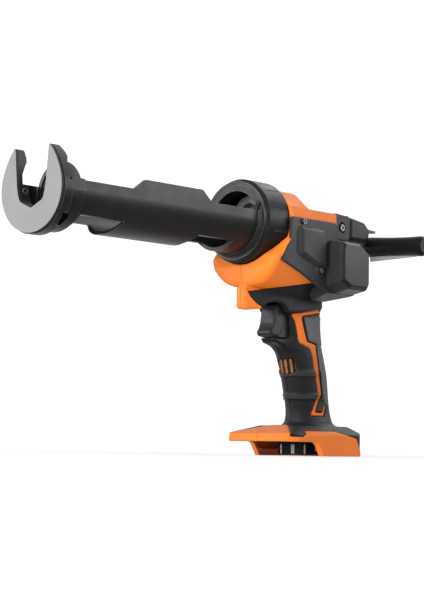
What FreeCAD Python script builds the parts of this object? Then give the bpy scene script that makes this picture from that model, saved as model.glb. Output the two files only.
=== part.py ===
import FreeCAD, Part
import math, os

V = FreeCAD.Vector
os.makedirs("parts", exist_ok=True)

# ---------------------------------------------------------------- dimensions
# Worked in tool coordinates: x = 0 at the front plate's face, growing rearward,
# y = 0 on the mid plane (-Y is the tool's left), z = 0 on the barrel axis.
# Everything is moved by (ORIGIN_X, 0, AXIS_H) into the row frame on export.
ORIGIN_X = -342.0      # row origin sits under the battery seat
AXIS_H = 204.5         # barrel axis above the base's underside

PLATE_T = 3.0          # front plate thickness
PLATE_R = 35.0         # front plate and collar radius
SLOT_W = 16.3          # half width of the nozzle slot
SLOT_TOP_W = 19.8      # half width at the horn tips
SLOT_BOT = -15.5       # bottom of the nozzle slot

TUBE_RO = 29.2         # barrel tube outside radius
TUBE_RI = 26.0         # barrel tube inside radius (50 mm cartridge)
TUBE_X0, TUBE_X1 = 12.0, 250.0
WALL_Z = 7.0           # top edge of the open trough
WING_Z = 15.8          # top edge of the raised wings

RING_R = 37.0          # lock ring outside radius
RING_X0, RING_X1 = 240.5, 268.0

PISTON_R = 25.0
PISTON_X = 29.0        # front of the pusher plate, fully advanced
TRAVEL = 200.0         # plunger travel

ROD_W, ROD_H = 9.0, 12.0
ROD_X0, ROD_X1 = 34.0, 434.0

M_RACK = 1.25          # rack and pinion module
Z_PIN = 14
RACK_ADD = 1.0         # stub addendum
M_GEAR = 1.0
Z_BIG, Z_SMALL = 30, 13
RACK_PITCH_Z = -5.0    # pitch line of the rack
PIN_X = 334.0
PIN_R = M_RACK * Z_PIN / 2.0                 # 8.75
PIN_Z = RACK_PITCH_Z - PIN_R - 0.05          # pinion shaft height
OUT_Z = PIN_Z - M_GEAR * (Z_BIG + Z_SMALL) / 2.0 - 0.05   # motor axis height

BELLY_R, BELLY_Z = 42.3, -18.0   # round gear case under the barrel axis
WALL_T = 2.8                     # housing wall

GRIP = [  # z, centre x, half depth, half width of the outer grip skin
    (-62.0, 321.0, 31.0, 17.6),
    (-85.0, 322.5, 27.0, 17.0),
    (-106.0, 325.5, 27.0, 17.0),
    (-131.0, 334.0, 25.5, 17.0),
    (-153.0, 338.3, 24.2, 16.6),
    (-170.0, 341.0, 25.0, 17.6),
    (-181.0, 341.5, 28.0, 21.0),
]
SKIN = 2.0             # overmould thickness

BASE_X0, BASE_X1, BASE_W = 270.0, 374.0, 40.0
BASE_BOT, BASE_LIP, BASE_EDGE, BASE_TOP = -204.5, -192.0, -185.0, -177.0
BASE_WALL_X = 309.0    # front end of the deep side walls

HANDLE_X, HANDLE_Z = 431.0, -5.0
HANDLE_END = -65.0


# ---------------------------------------------------------------- helpers
def box(x0, x1, y0, y1, z0, z1):
    return Part.makeBox(x1 - x0, y1 - y0, z1 - z0, V(x0, y0, z0))


def cylx(r, x0, x1, y=0.0, z=0.0):
    return Part.makeCylinder(r, x1 - x0, V(x0, y, z), V(1, 0, 0))


def cyly(r, y0, y1, x, z):
    return Part.makeCylinder(r, y1 - y0, V(x, y0, z), V(0, 1, 0))


def conex(r0, r1, x0, x1):
    return Part.makeCone(r0, r1, x1 - x0, V(x0, 0, 0), V(1, 0, 0))


def rounded(pts):
    """Polygon corners (u, v[, r]) -> list of ('L', a, b) and ('A', a, m, b)."""
    n = len(pts)
    out = []
    for i in range(n):
        u, v = pts[i][0], pts[i][1]
        r = pts[i][2] if len(pts[i]) > 2 else 0.0
        pu, pv = pts[i - 1][0], pts[i - 1][1]
        nu, nv = pts[(i + 1) % n][0], pts[(i + 1) % n][1]
        if r <= 0:
            out.append(((u, v), None, (u, v)))
            continue
        a = (pu - u, pv - v)
        b = (nu - u, nv - v)
        la, lb = math.hypot(*a), math.hypot(*b)
        a = (a[0] / la, a[1] / la)
        b = (b[0] / lb, b[1] / lb)
        ang = math.acos(max(-1, min(1, a[0] * b[0] + a[1] * b[1])))
        if abs(math.pi - ang) < 1e-3:
            out.append(((u, v), None, (u, v)))
            continue
        d = min(r / math.tan(ang / 2), 0.49 * la, 0.49 * lb)
        rr = d * math.tan(ang / 2)
        p1 = (u + a[0] * d, v + a[1] * d)
        p2 = (u + b[0] * d, v + b[1] * d)
        bis = (a[0] + b[0], a[1] + b[1])
        lbis = math.hypot(*bis)
        c = rr / math.sin(ang / 2)
        m = (u + bis[0] / lbis * (c - rr), v + bis[1] / lbis * (c - rr))
        out.append((p1, m, p2))
    return out


def wire(pts, plane, off):
    def P(q):
        if plane == "xz":
            return V(q[0], off, q[1])
        if plane == "yz":
            return V(off, q[0], q[1])
        return V(q[0], q[1], off)
    c = rounded(pts)
    edges = []
    for i in range(len(c)):
        p1, m, p2 = c[i]
        if m is not None:
            edges.append(Part.Arc(P(p1), P(m), P(p2)).toShape())
        q = c[(i + 1) % len(c)][0]
        if math.hypot(q[0] - p2[0], q[1] - p2[1]) > 1e-6:
            edges.append(Part.makeLine(P(p2), P(q)))
    return Part.Wire(edges)


def prism(pts, plane, lo, hi):
    d = {"xz": V(0, hi - lo, 0), "yz": V(hi - lo, 0, 0), "xy": V(0, 0, hi - lo)}[plane]
    return Part.Face(wire(pts, plane, lo)).extrude(d)


def inset(pts, plane, lo, hi, t):
    w = wire(pts, plane, lo).makeOffset2D(-t)
    d = {"xz": V(0, hi - lo, 0), "yz": V(hi - lo, 0, 0), "xy": V(0, 0, hi - lo)}[plane]
    return Part.Face(w).extrude(d)


def mirror_y(pts):
    return pts + [(-q[0],) + tuple(q[1:]) for q in reversed(pts)]


def ellipse_wire(z, cx, a, b):
    if a >= b:
        e = Part.Ellipse(V(cx + a, 0, z), V(cx, b, z), V(cx, 0, z))
    else:
        e = Part.Ellipse(V(cx, b, z), V(cx - a, 0, z), V(cx, 0, z))
    return Part.Wire(e.toShape())


def grip_loft(t):
    return Part.makeLoft([ellipse_wire(z, cx, a - t, b - t) for z, cx, a, b in GRIP], True, False)


def involute(m, z, add, ded, thin):
    """Outline of a spur gear, tooth 0 centred on angle 0; thin = backlash taken per tooth."""
    rp = m * z / 2.0
    pa = math.radians(20)
    rb = rp * math.cos(pa)
    ra, rf = rp + add, rp - ded
    half = (math.pi * m / 2.0 - thin) / (2.0 * rp)
    inv = math.tan(pa) - pa
    r0 = max(rb, rf + 0.05)
    side = []
    for k in range(6):
        r = r0 + (ra - r0) * k / 5.0
        al = math.acos(min(1.0, rb / r))
        side.append((r, half + inv - (math.tan(al) - al)))
    pts = []
    for i in range(z):
        c = 2 * math.pi * i / z
        step = [(rf, -side[0][1])] + [(r, -h) for r, h in side]
        step += [(r, h) for r, h in reversed(side)] + [(rf, side[0][1])]
        for r, h in step:
            pts.append((r, c + h))
    return pts


def gear(m, z, add, ded, thin, cx, cz, y0, y1, phase):
    pts = [V(cx + r * math.cos(a + phase), y0, cz + r * math.sin(a + phase))
           for r, a in involute(m, z, add, ded, thin)]
    w = Part.makePolygon(pts + [pts[0]])
    return Part.Face(w).extrude(V(0, y1 - y0, 0))


def solids(s):
    return Part.makeCompound(s.Solids) if len(s.Solids) > 1 else s.Solids[0]


NODES = {}


def node(name, shape):
    if shape.isNull() or not shape.Solids:
        raise RuntimeError("empty node " + name)
    NODES[name] = shape


def biggest(s):
    return max(s.Solids, key=lambda q: q.Volume)


# ---------------------------------------------------------------- front plate and collar
def slot_cut(x0, x1, grow=0.0):
    g = grow
    pts = [(-SLOT_TOP_W - g - 1.0, 50.0), (-SLOT_W - g, 0.0, 20.0), (-SLOT_W + 3.0 - g, -9.5, 6.0),
           (0.0, SLOT_BOT - g, 3.0), (SLOT_W - 3.0 + g, -9.5, 6.0), (SLOT_W + g, 0.0, 20.0),
           (SLOT_TOP_W + g + 1.0, 50.0)]
    return prism(pts, "yz", x0, x1)


horn = prism(mirror_y([(0, 33.0), (20.3, 33.0, 0.6), (24.6, 28.0, 30.0), (28.4, 22.2, 30.0), (31.6, 15.6, 30.0), (33.9, 8.4, 30.0), (34.7, 0.0), (0.0, 0.0)]), "yz", 0, PLATE_T)
plate = cylx(PLATE_R, 0, PLATE_T).fuse(horn)
plate = plate.cut(slot_cut(-5, 20)).cut(box(-1, PLATE_T + 1, -60, 60, 32.6, 60))

COL_R = PLATE_R + 0.8
col = cylx(COL_R, PLATE_T, 11.5)
col = col.fuse(prism(mirror_y([(0, 33.0), (20.7, 33.0, 0.8), (25.2, 28.0, 30.0), (29.1, 22.2, 30.0), (32.4, 15.6, 30.0), (34.7, 8.4, 30.0), (35.5, 0.0), (0.0, 0.0)]), "yz", PLATE_T, 11.5))
col = col.fuse(conex(COL_R - 1.5, 32.0, 11.5, 14.0))
col = col.fuse(cylx(32.0, 11.5, 27.0))
col = col.fuse(prism(mirror_y([(0, 7.6), (32.0, 7.6, 1.0), (32.0, -2.0), (0, -2.0)]), "yz", 11.5, 27.0))
col = col.cut(slot_cut(-5, 60, 0.4))
col = col.cut(box(0, 60, -60, 60, 32.6, 60))
col = col.cut(prism([(6.6, 5.0, 1.0), (6.6, 13.0, 2.0), (10.7, 22.0, 1.5), (14.0, 24.5), (14.0, 5.0)], "xz", -60, 60))   # horns hollowed from behind
col = col.cut(prism([(8.6, 36.0), (9.0, 32.9), (10.2, 30.4, 2.0), (11.5, 26.4), (16.0, 26.4), (16.0, 36.0)], "xz", -60, 60))   # and rounded at their tips
col = col.cut(box(11.5, 60, -60, 60, 7.6, 60))               # open above the trough
col = col.cut(cylx(TUBE_RO + 0.12, TUBE_X0 - 0.1, 60))        # seat for the tube
col = col.cut(box(TUBE_X0 - 0.1, 60, -TUBE_RO - 0.12, TUBE_RO + 0.12, 0, 60))
GAP = [(6.8, -19.5, 1), (19.4, -20.2, 1), (17.0, -30.0, 1), (8.8, -30.0, 1)]
gap = prism(GAP, "xz", -60, -14).fuse(prism(GAP, "xz", 14, 60))
col = col.cut(gap)                                           # the lower side windows between the two rings
for s in (-1, 1):                                            # blind screw holes in the sleeve, from inside
    y0, y1 = (TUBE_RO - 6, 31.3) if s > 0 else (-31.3, -TUBE_RO + 6)
    col = col.cut(cyly(1.55, y0, y1, 16.6, 1.5))
for a in (200, 340):                                    # plate screws, from behind, so that the plate's face is bare
    y, z = 26.5 * math.cos(math.radians(a)), 26.5 * math.sin(math.radians(a))
    col = col.cut(cylx(1.32, PLATE_T - 1, 13.0, y, z)).cut(cylx(2.6, 9.2, 13.0, y, z))
    plate = plate.cut(cylx(1.30, 0.9, PLATE_T + 1, y, z))
node("front_plate", plate)
node("front_collar", biggest(col))

ps = None
for a in (200, 340):                                    # heads inside the ring, tips in the plate
    y, z = 26.5 * math.cos(math.radians(a)), 26.5 * math.sin(math.radians(a))
    s1 = cylx(2.45, 9.25, 11.4, y, z).fuse(cylx(1.25, 1.0, 9.4, y, z)).cut(cylx(1.1, 10.4, 12.0, y, z))
    ps = s1 if ps is None else ps.fuse(s1)
node("plate_screws", solids(ps))

# ---------------------------------------------------------------- barrel
outer = cylx(TUBE_RO, TUBE_X0, TUBE_X1).fuse(box(TUBE_X0, TUBE_X1, -TUBE_RO, TUBE_RO, 0, 40))
inner = cylx(TUBE_RI, TUBE_X0 - 1, TUBE_X1 + 1).fuse(box(TUBE_X0 - 1, 237.0, -TUBE_RI, TUBE_RI, 0, 60))
side = [(TUBE_X0, -60), (TUBE_X0, WALL_Z), (84.5, WALL_Z, 1.5), (97.0, WING_Z, 2.0), (164.5, WING_Z, 2.0),
        (176.0, WALL_Z - 0.5, 1.5), (231.8, WALL_Z - 0.5, 1.0), (237.6, 17.0), (237.6, 60), (TUBE_X1, 60), (TUBE_X1, -60)]
trough = outer.common(prism(side, "xz", -80, 80))
trough = trough.common(cylx(33.0, TUBE_X0, TUBE_X1).fuse(box(TUBE_X0, 237, -33, 33, 0, 33)))
neck = cylx(30.4, 236.0, TUBE_X1)
trough = trough.common(box(0, 240.3, -80, 80, -80, 80)).fuse(neck)
step = cylx(34.6, 237.0, 240.0)                              # visible step in front of the lock ring, grooved above the trough
step = step.cut(cylx(32.3, 236.0, 238.0).cut(cylx(31.3, 235.0, 239.0)).common(box(230, 245, -60, 60, 7.5, 60)))
trough = trough.fuse(step)
trough = trough.fuse(conex(TUBE_RO, 34.4, 234.8, 237.0).cut(box(200, 300, -60, 60, 6.5, 60)))
trough = trough.fuse(cylx(33.9, 245.9, TUBE_X1))             # captured flange
trough = trough.cut(inner).cut(cylx(TUBE_RI, 200, 300))
# bottom windows with slanted ends, open below
trough = trough.cut(prism([(31.5, -19.0, 1.5), (81.5, -19.0, 0.8), (75.0, -28.0, 1), (75.0, -45), (31.5, -45)], "xz", -60, 60))
trough = trough.cut(prism([(170.5, -21.0, 0.8), (213.0, -21.0, 1.5), (213.0, -45), (163.0, -45), (163.0, -28.0, 1)], "xz", -60, 60))
for s in (-1, 1):
    y0, y1 = (20, 40) if s > 0 else (-40, -20)
    trough = trough.cut(cyly(1.6, y0, y1, 16.6, 1.5))
trough = trough.removeSplitter()
node("barrel", biggest(trough))

cs = None
for s in (-1, 1):
    a, b = (24.6, TUBE_RI) if s > 0 else (-TUBE_RI, -24.6)
    head = cyly(3.2, a, b - 0.02 if s > 0 else b, 16.6, 1.5) if s > 0 else cyly(3.2, a + 0.02, b, 16.6, 1.5)
    sh = cyly(1.5, 25.5, 31.1, 16.6, 1.5) if s > 0 else cyly(1.5, -31.1, -25.5, 16.6, 1.5)
    hx = cyly(1.1, 24.0, 25.6, 16.6, 1.5) if s > 0 else cyly(1.1, -25.6, -24.0, 16.6, 1.5)
    k = head.fuse(sh).cut(hx)
    cs = k if cs is None else cs.fuse(k)
node("collar_screws", solids(cs))

# ---------------------------------------------------------------- lock ring
ring = cylx(RING_R, RING_X0, RING_X1)
ring = ring.cut(cylx(30.8, RING_X0 - 1, 260)).cut(cylx(34.5, 245.4, RING_X1 + 1))
edge = conex(RING_R - 1.6, RING_R, RING_X0, RING_X0 + 1.6)
ring = ring.common(edge.fuse(cylx(RING_R, RING_X0 + 1.6, RING_X1)))
for k in range(12):                                          # shallow finger flutes around the rim
    a = math.radians(15 + 30 * k)
    ring = ring.cut(cylx(1.1, RING_X0 + 9, RING_X1 - 4, (RING_R + 0.55) * math.cos(a), (RING_R + 0.55) * math.sin(a)))
node("lock_ring", biggest(ring))

# ---------------------------------------------------------------- plunger
P = math.pi * M_RACK
rod = box(ROD_X0, ROD_X1, -ROD_W / 2, ROD_W / 2, RACK_PITCH_Z - RACK_ADD, RACK_PITCH_Z - RACK_ADD + ROD_H)
RACK_DED = 1.45
cuts = []
n0, n1 = -54, 5
ta = math.tan(math.radians(20))
for i in range(n0, n1 + 1):                                  # one space per pitch, one on the pinion's centre line
    c = PIN_X + i * P
    hw = P / 4.0 + 0.06
    zt, zr = RACK_PITCH_Z - RACK_ADD - 0.5, RACK_PITCH_Z + RACK_DED
    pts = [(c - hw - (RACK_ADD + 0.5) * ta, zt), (c + hw + (RACK_ADD + 0.5) * ta, zt),
           (c + hw - RACK_DED * ta, zr), (c - hw + RACK_DED * ta, zr)]
    cuts.append(prism(pts, "xz", -ROD_W, ROD_W))
rod = rod.cut(Part.makeCompound(cuts))
rod = rod.fuse(cylx(3.5, ROD_X0 - 3.0, ROD_X0 + 0.01))
rod = rod.cut(cylx(1.6, ROD_X0 - 4, ROD_X0 + 14))
rod = rod.cut(box(420.6, ROD_X1 + 1, -10, 10, 1.0, 20))       # tenon for the handle
rod = rod.cut(cylx(2.0, ROD_X1 - 14, ROD_X1 + 1, 0, -2.5))
node("rack_rod", biggest(rod))

piston = cylx(PISTON_R, PISTON_X, PISTON_X + 1.8).fuse(conex(PISTON_R, 21.5, PISTON_X + 1.8, PISTON_X + 4.5))
piston = piston.fuse(conex(18.0, 11.0, PISTON_X + 4.5, PISTON_X + 9.0))
piston = piston.fuse(cylx(11.0, PISTON_X + 9.0, PISTON_X + 13.0))
piston = piston.cut(cylx(21.5, PISTON_X - 1, PISTON_X + 1.2).cut(cylx(9.0, PISTON_X - 1, PISTON_X + 1.2)))
piston = piston.cut(cylx(3.55, PISTON_X + 2, PISTON_X + 20))
piston = piston.cut(box(ROD_X0 - 0.05, 60, -ROD_W / 2 - 0.1, ROD_W / 2 + 0.1, RACK_PITCH_Z - RACK_ADD - 0.1, RACK_PITCH_Z - RACK_ADD + ROD_H + 0.1))
piston = piston.cut(cylx(5.2, PISTON_X - 1, PISTON_X + 0.9)).cut(cylx(1.7, PISTON_X - 1, PISTON_X + 20))
node("pusher_plate", biggest(piston))
scr = cylx(5.0, PISTON_X - 1.6, PISTON_X + 0.85).fuse(cylx(1.55, PISTON_X, ROD_X0 + 12))
hexw = [V(PISTON_X - 2, 2.3 * math.cos(math.radians(60 * k)), 2.3 * math.sin(math.radians(60 * k))) for k in range(6)]
scr = scr.cut(Part.Face(Part.makePolygon(hexw + [hexw[0]])).extrude(V(2.0, 0, 0)))
node("pusher_screw", biggest(scr))

prof = [(0.0, 8.6), (5.5, 8.6), (8.2, 6.8), (9.2, 3.4), (9.5, -4.0), (9.2, -12.0), (8.8, -25.0), (8.8, -42.0), (9.15, -54.0), (9.5, -60.0), (9.2, -62.8), (7.4, -64.6), (6.6, HANDLE_END), (0.0, HANDLE_END)]
pw = Part.makePolygon([V(HANDLE_X + r, y, HANDLE_Z) for r, y in prof] + [V(HANDLE_X + prof[0][0], prof[0][1], HANDLE_Z)])
handle = Part.Face(pw).revolve(V(HANDLE_X, 0, HANDLE_Z), V(0, 1, 0), 360)
handle.rotate(V(HANDLE_X, 0, HANDLE_Z), V(1, 0, 0), 2.9)     # the bar droops a little towards its end
handle = handle.cut(box(400, ROD_X1 + 0.1, -ROD_W / 2 - 0.08, ROD_W / 2 + 0.08, RACK_PITCH_Z - RACK_ADD - 0.08, 1.08))
handle = handle.cut(cylx(2.1, 430, 450, 0, -2.5)).cut(cylx(4.3, 437.6, 450, 0, -2.5))
tong_slot = box(HANDLE_X - 1.6, HANDLE_X + 1.6, -57.1, -1.9, -30.0, -10.9)
handle = handle.cut(tong_slot)
node("pull_handle", biggest(handle))
tong = prism([(-2.0, -19.0), (-2.0, -11.0), (-57.0, -11.0), (-57.0, -16.4), (-54.0, -17.5)], "yz", HANDLE_X - 1.5, HANDLE_X + 1.5)
node("handle_blade", biggest(tong))
hs = cylx(4.1, 437.7, 439.6, 0, -2.5).fuse(cylx(1.9, ROD_X1 - 12, 438, 0, -2.5))
hs = hs.cut(cylx(1.8, 438.8, 441, 0, -2.5))
node("handle_screw", biggest(hs))

# ---------------------------------------------------------------- housing
BODY_SIDE = [(268.0, 30.6, 1.5), (309.0, 30.2), (351.5, 17.6), (351.5, 9.0), (357.0, 4.0, 3.0),
             (359.5, -20.0, 12.0), (357.5, -50.0, 10.0), (352.0, -62.0, 4.0), (330.0, -62.0), (262.0, -62.0, 3.0),
             (247.5, -57.5, 6.0), (246.0, -40.0, 6.0), (249.0, -30.0, 6.0), (268.0, -12.0, 3.0)]
BODY_FRONT = mirror_y([(0.0, 31.0), (14.0, 30.2, 3.0), (21.0, 27.6, 2.0), (37.6, 13.2, 1.5), (40.3, 2.0, 20.0)] +
                      [(BELLY_R * math.cos(math.radians(a)), BELLY_Z + BELLY_R * math.sin(math.radians(a)))
                       for a in range(6, -90, -8)] + [(0.0, BELLY_Z - BELLY_R)])
NECK_PLAN = [(246.0, -5.5, 3.5), (246.0, 5.5, 3.5), (270.0, 13.5, 12.0), (300.0, 18.0, 20.0), (340.0, 16.6, 9.0),
             (348.5, 8.0, 6.0), (348.5, -8.0, 6.0), (340.0, -16.6, 9.0), (300.0, -18.0, 20.0), (270.0, -13.5, 12.0)]
NOSE = [(240.0, -50.0), (249.0, -60.0), (263.0, -76.4), (240.0, -76.4)]          # part of the neck left bare of overmould
BASE_PLAN = [(BASE_X0, -BASE_W, 13.0), (BASE_X1, -BASE_W, 10.0), (BASE_X1, BASE_W, 10.0), (BASE_X0, BASE_W, 13.0)]
FLANGE = [(266.5, 3.8, 1.5), (331.0, 3.8, 2.0), (331.0, -12.0), (357.0, -14.0, 3.0), (357.0, -60.0, 5.0), (318.0, -60.0, 4.0),
          (297.0, -48.5, 3.0), (254.0, -30.0, 1.5), (265.5, -16.0, 3.0)]
SCREWS = [(279.0, 21.5), (284.0, -46.5), (346.0, -56.4), (327.5, -112.0), (342.0, -166.5), (284.0, -188.4)]

LOW_ROOF = [(-60.0, 8.5), (-37.6, 13.2), (-18.0, 17.2), (0.0, 17.5), (18.0, 17.2), (37.6, 13.2), (60.0, 8.5), (60.0, 60.0), (-60.0, 60.0)]


def behind_hump(drop):
    """Space behind the hump and over the low roof, and past the two rear corners; drop moves it into the body."""
    n = V(466.4, -252.8, 262.0)
    n.normalize()
    half = None
    for sgn in (1, -1):
        b = Part.makeBox(200, 200, 200, V(-100, -100, 0))
        m = V(n.x, n.y * sgn, n.z)
        b.Placement = FreeCAD.Placement(V(295.0, -21.0 * sgn, 27.8) - m * drop, FreeCAD.Rotation(V(0, 0, 1), m))
        half = b if half is None else half.fuse(b)
    s = half.common(prism([(y, z - drop) for y, z in LOW_ROOF], "yz", 285.0, 380.0))
    for sgn in (1, -1):
        d = drop * 1.1
        s = s.fuse(prism([(331.0 - d, -60.0 * sgn), (331.0 - d, -39.2 * sgn), (353.0 - d, -19.2 * sgn), (380.0, -19.2 * sgn), (380.0, -60.0 * sgn)], "xy", -12.0 - drop, 60.0))
    return s


body_o = prism(BODY_SIDE, "xz", -60, 60).common(prism(BODY_FRONT, "yz", 240, 370)).cut(behind_hump(0.0))
body_i = inset(BODY_SIDE, "xz", -60, 60, WALL_T).common(inset(BODY_FRONT, "yz", 240, 370, WALL_T))
body_i = body_i.common(box(270.8, 400, -35.2, 60, -80, 60)).cut(behind_hump(2.5))
neck_o = prism(NECK_PLAN, "xy", -76.0, -50.0)
neck_core = inset(NECK_PLAN, "xy", -76.0, -50.0, SKIN)
neck_i = inset(NECK_PLAN, "xy", -72.5, -45.0, SKIN + 2.4).common(box(262, 400, -60, 60, -80, -40))
nose = prism(NOSE, "xz", -30, 30).common(neck_o)
grip_o = grip_loft(0.0)
grip_core = grip_loft(SKIN)
grip_i = grip_loft(SKIN + 2.4)
throat = box(200, 420, -60, 60, -76.0, -40.0)                # inside the neck the grip keeps to the neck's plan
grip_core = grip_core.cut(throat.cut(inset(NECK_PLAN, "xy", -77.0, -39.0, SKIN)))
grip_i = grip_i.cut(throat.cut(inset(NECK_PLAN, "xy", -77.0, -39.0, SKIN + 2.4)))

base_o = prism(BASE_PLAN, "xy", BASE_BOT, BASE_EDGE)
roof = Part.makeLoft([wire(BASE_PLAN, "xy", BASE_EDGE),
                      wire([(300.0, -23.0, 13.0), (369.5, -23.0, 10.0), (369.5, 23.0, 10.0), (300.0, 23.0, 13.0)], "xy", BASE_TOP)], True, True)
base_o = base_o.fuse(roof)
bay = prism([(BASE_X0 - 5, BASE_BOT - 5), (BASE_WALL_X + 5.0, BASE_BOT - 5), (BASE_WALL_X + 5.0, BASE_BOT, 0.0),
             (BASE_WALL_X - 3.0, BASE_LIP, 7.0), (BASE_X0 - 5, BASE_LIP)], "xz", -60, 60)
base_o = base_o.cut(bay)
base_o = base_o.cut(box(BASE_X0 - 5, 360.0, -34.0, 34.0, BASE_BOT - 5, BASE_LIP))
base_i = inset(BASE_PLAN, "xy", BASE_LIP + 2.6, BASE_EDGE + 1.0, 3.2)

neckbore = cylx(27.0, 240, 272)
collar_neck = cylx(33.9, 250.6, 272.0)
shell = body_o.cut(cylx(RING_R + 0.8, 230, RING_X1 + 0.4))
shell = shell.fuse(collar_neck)
orange = shell.fuse(neck_core).fuse(nose).fuse(grip_core).fuse(base_o)
cav = body_i.fuse(neck_i).fuse(grip_i).fuse(base_i)
orange = orange.cut(cav).cut(neckbore)

# the stripe stands proud of the core to lie flush in the overmould's window
STRIPE = [[(301.0, -77.5), (336.0, -72.5), (336.0, -76.5), (313.5, -80.0), (320.5, -101.0), (333.5, -106.0), (341.5, -147.0),
           (337.0, -153.0), (333.5, -164.0), (344.0, -164.0), (347.0, -158.0), (350.5, -160.0), (347.0, -168.0), (328.0, -168.0),
           (334.8, -150.0), (325.5, -107.5), (309.5, -103.5)]]
for poly in STRIPE:
    rib = prism(poly, "xz", -40, 40).common(grip_loft(0.25)).cut(grip_i)
    orange = orange.fuse(rib)
for x, z in SCREWS:                                          # screw posts through both halves
    post = cyly(4.3 if z > -180 else 3.4, -60, 60, x, z)
    lim = body_o if z > -61 else (grip_core if z > -175 else base_o)
    orange = orange.fuse(post.common(lim))

# seats for the drive frame
for x0, x1, y0, y1, z0, z1 in ((311, 316, -38, -12.7, -4, 3), (311, 316, 21.2, 40, -30, -6), (349, 353.5, 21.2, 40, -30, -6)):
    orange = orange.fuse(box(x0, x1, y0, y1, z0, z1).common(body_o))

# openings: motor, rod, trigger, dial, covers
orange = orange.cut(prism(FLANGE, "xz", -60, -38.0).common(box(240, 400, -60, -38.0, -49.0, 20)))
orange = orange.cut(box(314, 360, -60, -38.0, -62.0, -11.6))
orange = orange.cut(cyly(17.5, -60, -15.5, PIN_X, OUT_Z))
orange = orange.cut(box(351.65, 370, -18.8, 18.8, -6.9, 25))
orange = orange.cut(box(338, 356, -9, 9, -187, -178.5))     # wire passage
orange = orange.cut(box(340, 362, -5.6, 5.6, -7.2, 7.6))
orange = orange.cut(box(270, 316.2, -9.3, 9.3, -101.8, -71.2))
DIAL_C = V(315.0, 0, -122.5)
DIAL_AX = V(math.sin(math.radians(14)), 0, -math.cos(math.radians(14)))
DIAL_R, DIAL_H = 9.6, 12.6


def dial_cyl(r, h, up=0.0):
    c = DIAL_C - DIAL_AX * (h / 2.0) + DIAL_AX * up
    return Part.makeCylinder(r, h, c, DIAL_AX)


dial_seat = dial_cyl(DIAL_R + 3.0, DIAL_H + 5.0).common(grip_core)
orange = orange.fuse(dial_seat)
orange = orange.cut(dial_cyl(DIAL_R + 0.45, DIAL_H + 0.8))
orange = orange.cut(dial_cyl(1.35, DIAL_H + 5.0))
orange = orange.cut(box(300, 340, -9.0, 9.0, -180, -112.0 - 8).cut(dial_cyl(DIAL_R + 3.0, DIAL_H + 5.0)).common(grip_i))

def flank(x, z):
    """Distance of the right-hand outer surface from the mid plane at (x, z)."""
    if z < -175:
        return BASE_W
    if z > -61:
        return body_o.common(box(x - 0.3, x + 0.3, 0, 60, z - 0.3, z + 0.3)).BoundBox.YMax
    for (z0, c0, a0, b0), (z1, c1, a1, b1) in zip(GRIP, GRIP[1:]):
        if z1 <= z <= z0:
            k = (z - z0) / (z1 - z0)
            c, a, b = c0 + k * (c1 - c0), a0 + k * (a1 - a0) - SKIN, b0 + k * (b1 - b0) - SKIN
            return b * math.sqrt(max(0.0, 1 - ((x - c) / a) ** 2))


# screw holes: pilot on the left, clearance and head pocket on the right
HEAD_Y = {}
for x, z in SCREWS:
    orange = orange.cut(cyly(1.42, -13.5, 0.5, x, z)).cut(cyly(1.8, -0.5, 60, x, z))
    ymax = flank(x, z)
    HEAD_Y[(x, z)] = ymax - 5.0
    orange = orange.cut(cyly(3.5, ymax - 5.0, 60, x, z))
COVER_SCREWS = [(282.0, 0.8), (305.6, -40.6)]
for x, z in COVER_SCREWS:
    orange = orange.cut(cyly(1.42, -45, -30, x, z))

left = orange.common(box(200, 420, -80, 0, -230, 60))
right = orange.common(box(200, 420, 0, 80, -230, 60))
node("housing_left", biggest(left))
node("housing_right", biggest(right))

hsc = None
for x, z in SCREWS:
    y = HEAD_Y[(x, z)]
    s1 = cyly(3.2, y + 0.02, y + 2.4, x, z).fuse(cyly(1.38, -12.5, y + 0.1, x, z)).cut(cyly(1.5, y + 1.2, y + 3, x, z))
    hsc = s1 if hsc is None else hsc.fuse(s1)
node("housing_screws", solids(hsc))

# ---------------------------------------------------------------- overmould
gz = box(200, 420, -60, 60, -176.9, -75.95)
over = grip_o.common(gz).cut(grip_loft(SKIN - 0.04))
nover = neck_o.common(box(200, 420, -60, 60, -76.0, -60.4)).cut(inset(NECK_PLAN, "xy", -80.0, -50.0, SKIN - 0.04))
nfloor = neck_o.common(box(200, 420, -60, 60, -78.0, -76.04)).common(box(262, 420, -60, 60, -90, -60))
nover = nover.cut(prism([(q[0] + (0.1 if q[0] > 241 else -5), q[1]) for q in NOSE], "xz", -40, 40))
nover = nover.cut(cylx(BELLY_R + 0.06, 240, 380, 0, BELLY_Z))
over = over.fuse(nover)
over = over.cut(cylx(BELLY_R + 0.06, 240, 380, 0, BELLY_Z))
for poly in STRIPE:
    over = over.cut(prism(poly, "xz", -40, 40))
over = over.cut(box(240, 316, -9.8, 9.8, -102.3, -70.8))
over = over.cut(dial_cyl(DIAL_R + 0.9, DIAL_H + 1.4))
for x, z in SCREWS:
    over = over.cut(cyly(3.7, 0, 60, x, z))
over_l = over.common(box(200, 420, -80, -0.03, -230, 60))
over_r = over.common(box(200, 420, 0.03, 80, -230, 60))
big_l = [s for s in over_l.Solids if s.Volume > 30]
big_r = [s for s in over_r.Solids if s.Volume > 30]
node("overmould_left", Part.makeCompound(big_l) if len(big_l) > 1 else big_l[0])
node("overmould_right", Part.makeCompound(big_r) if len(big_r) > 1 else big_r[0])

# ---------------------------------------------------------------- motor cover, end cap
PANEL = [(276.0, -4.5, 1.5), (318.0, -4.5, 2.0), (323.0, -8.0, 2.0), (323.0, -35.0, 2.0), (297.0, -35.0, 4.0), (276.0, -27.0, 3.0)]


def rr(x0, x1, z0, z1, r, y):
    return wire([(x0, z0, r), (x1, z0, r), (x1, z1, r), (x0, z1, r)], "xz", y)


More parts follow.
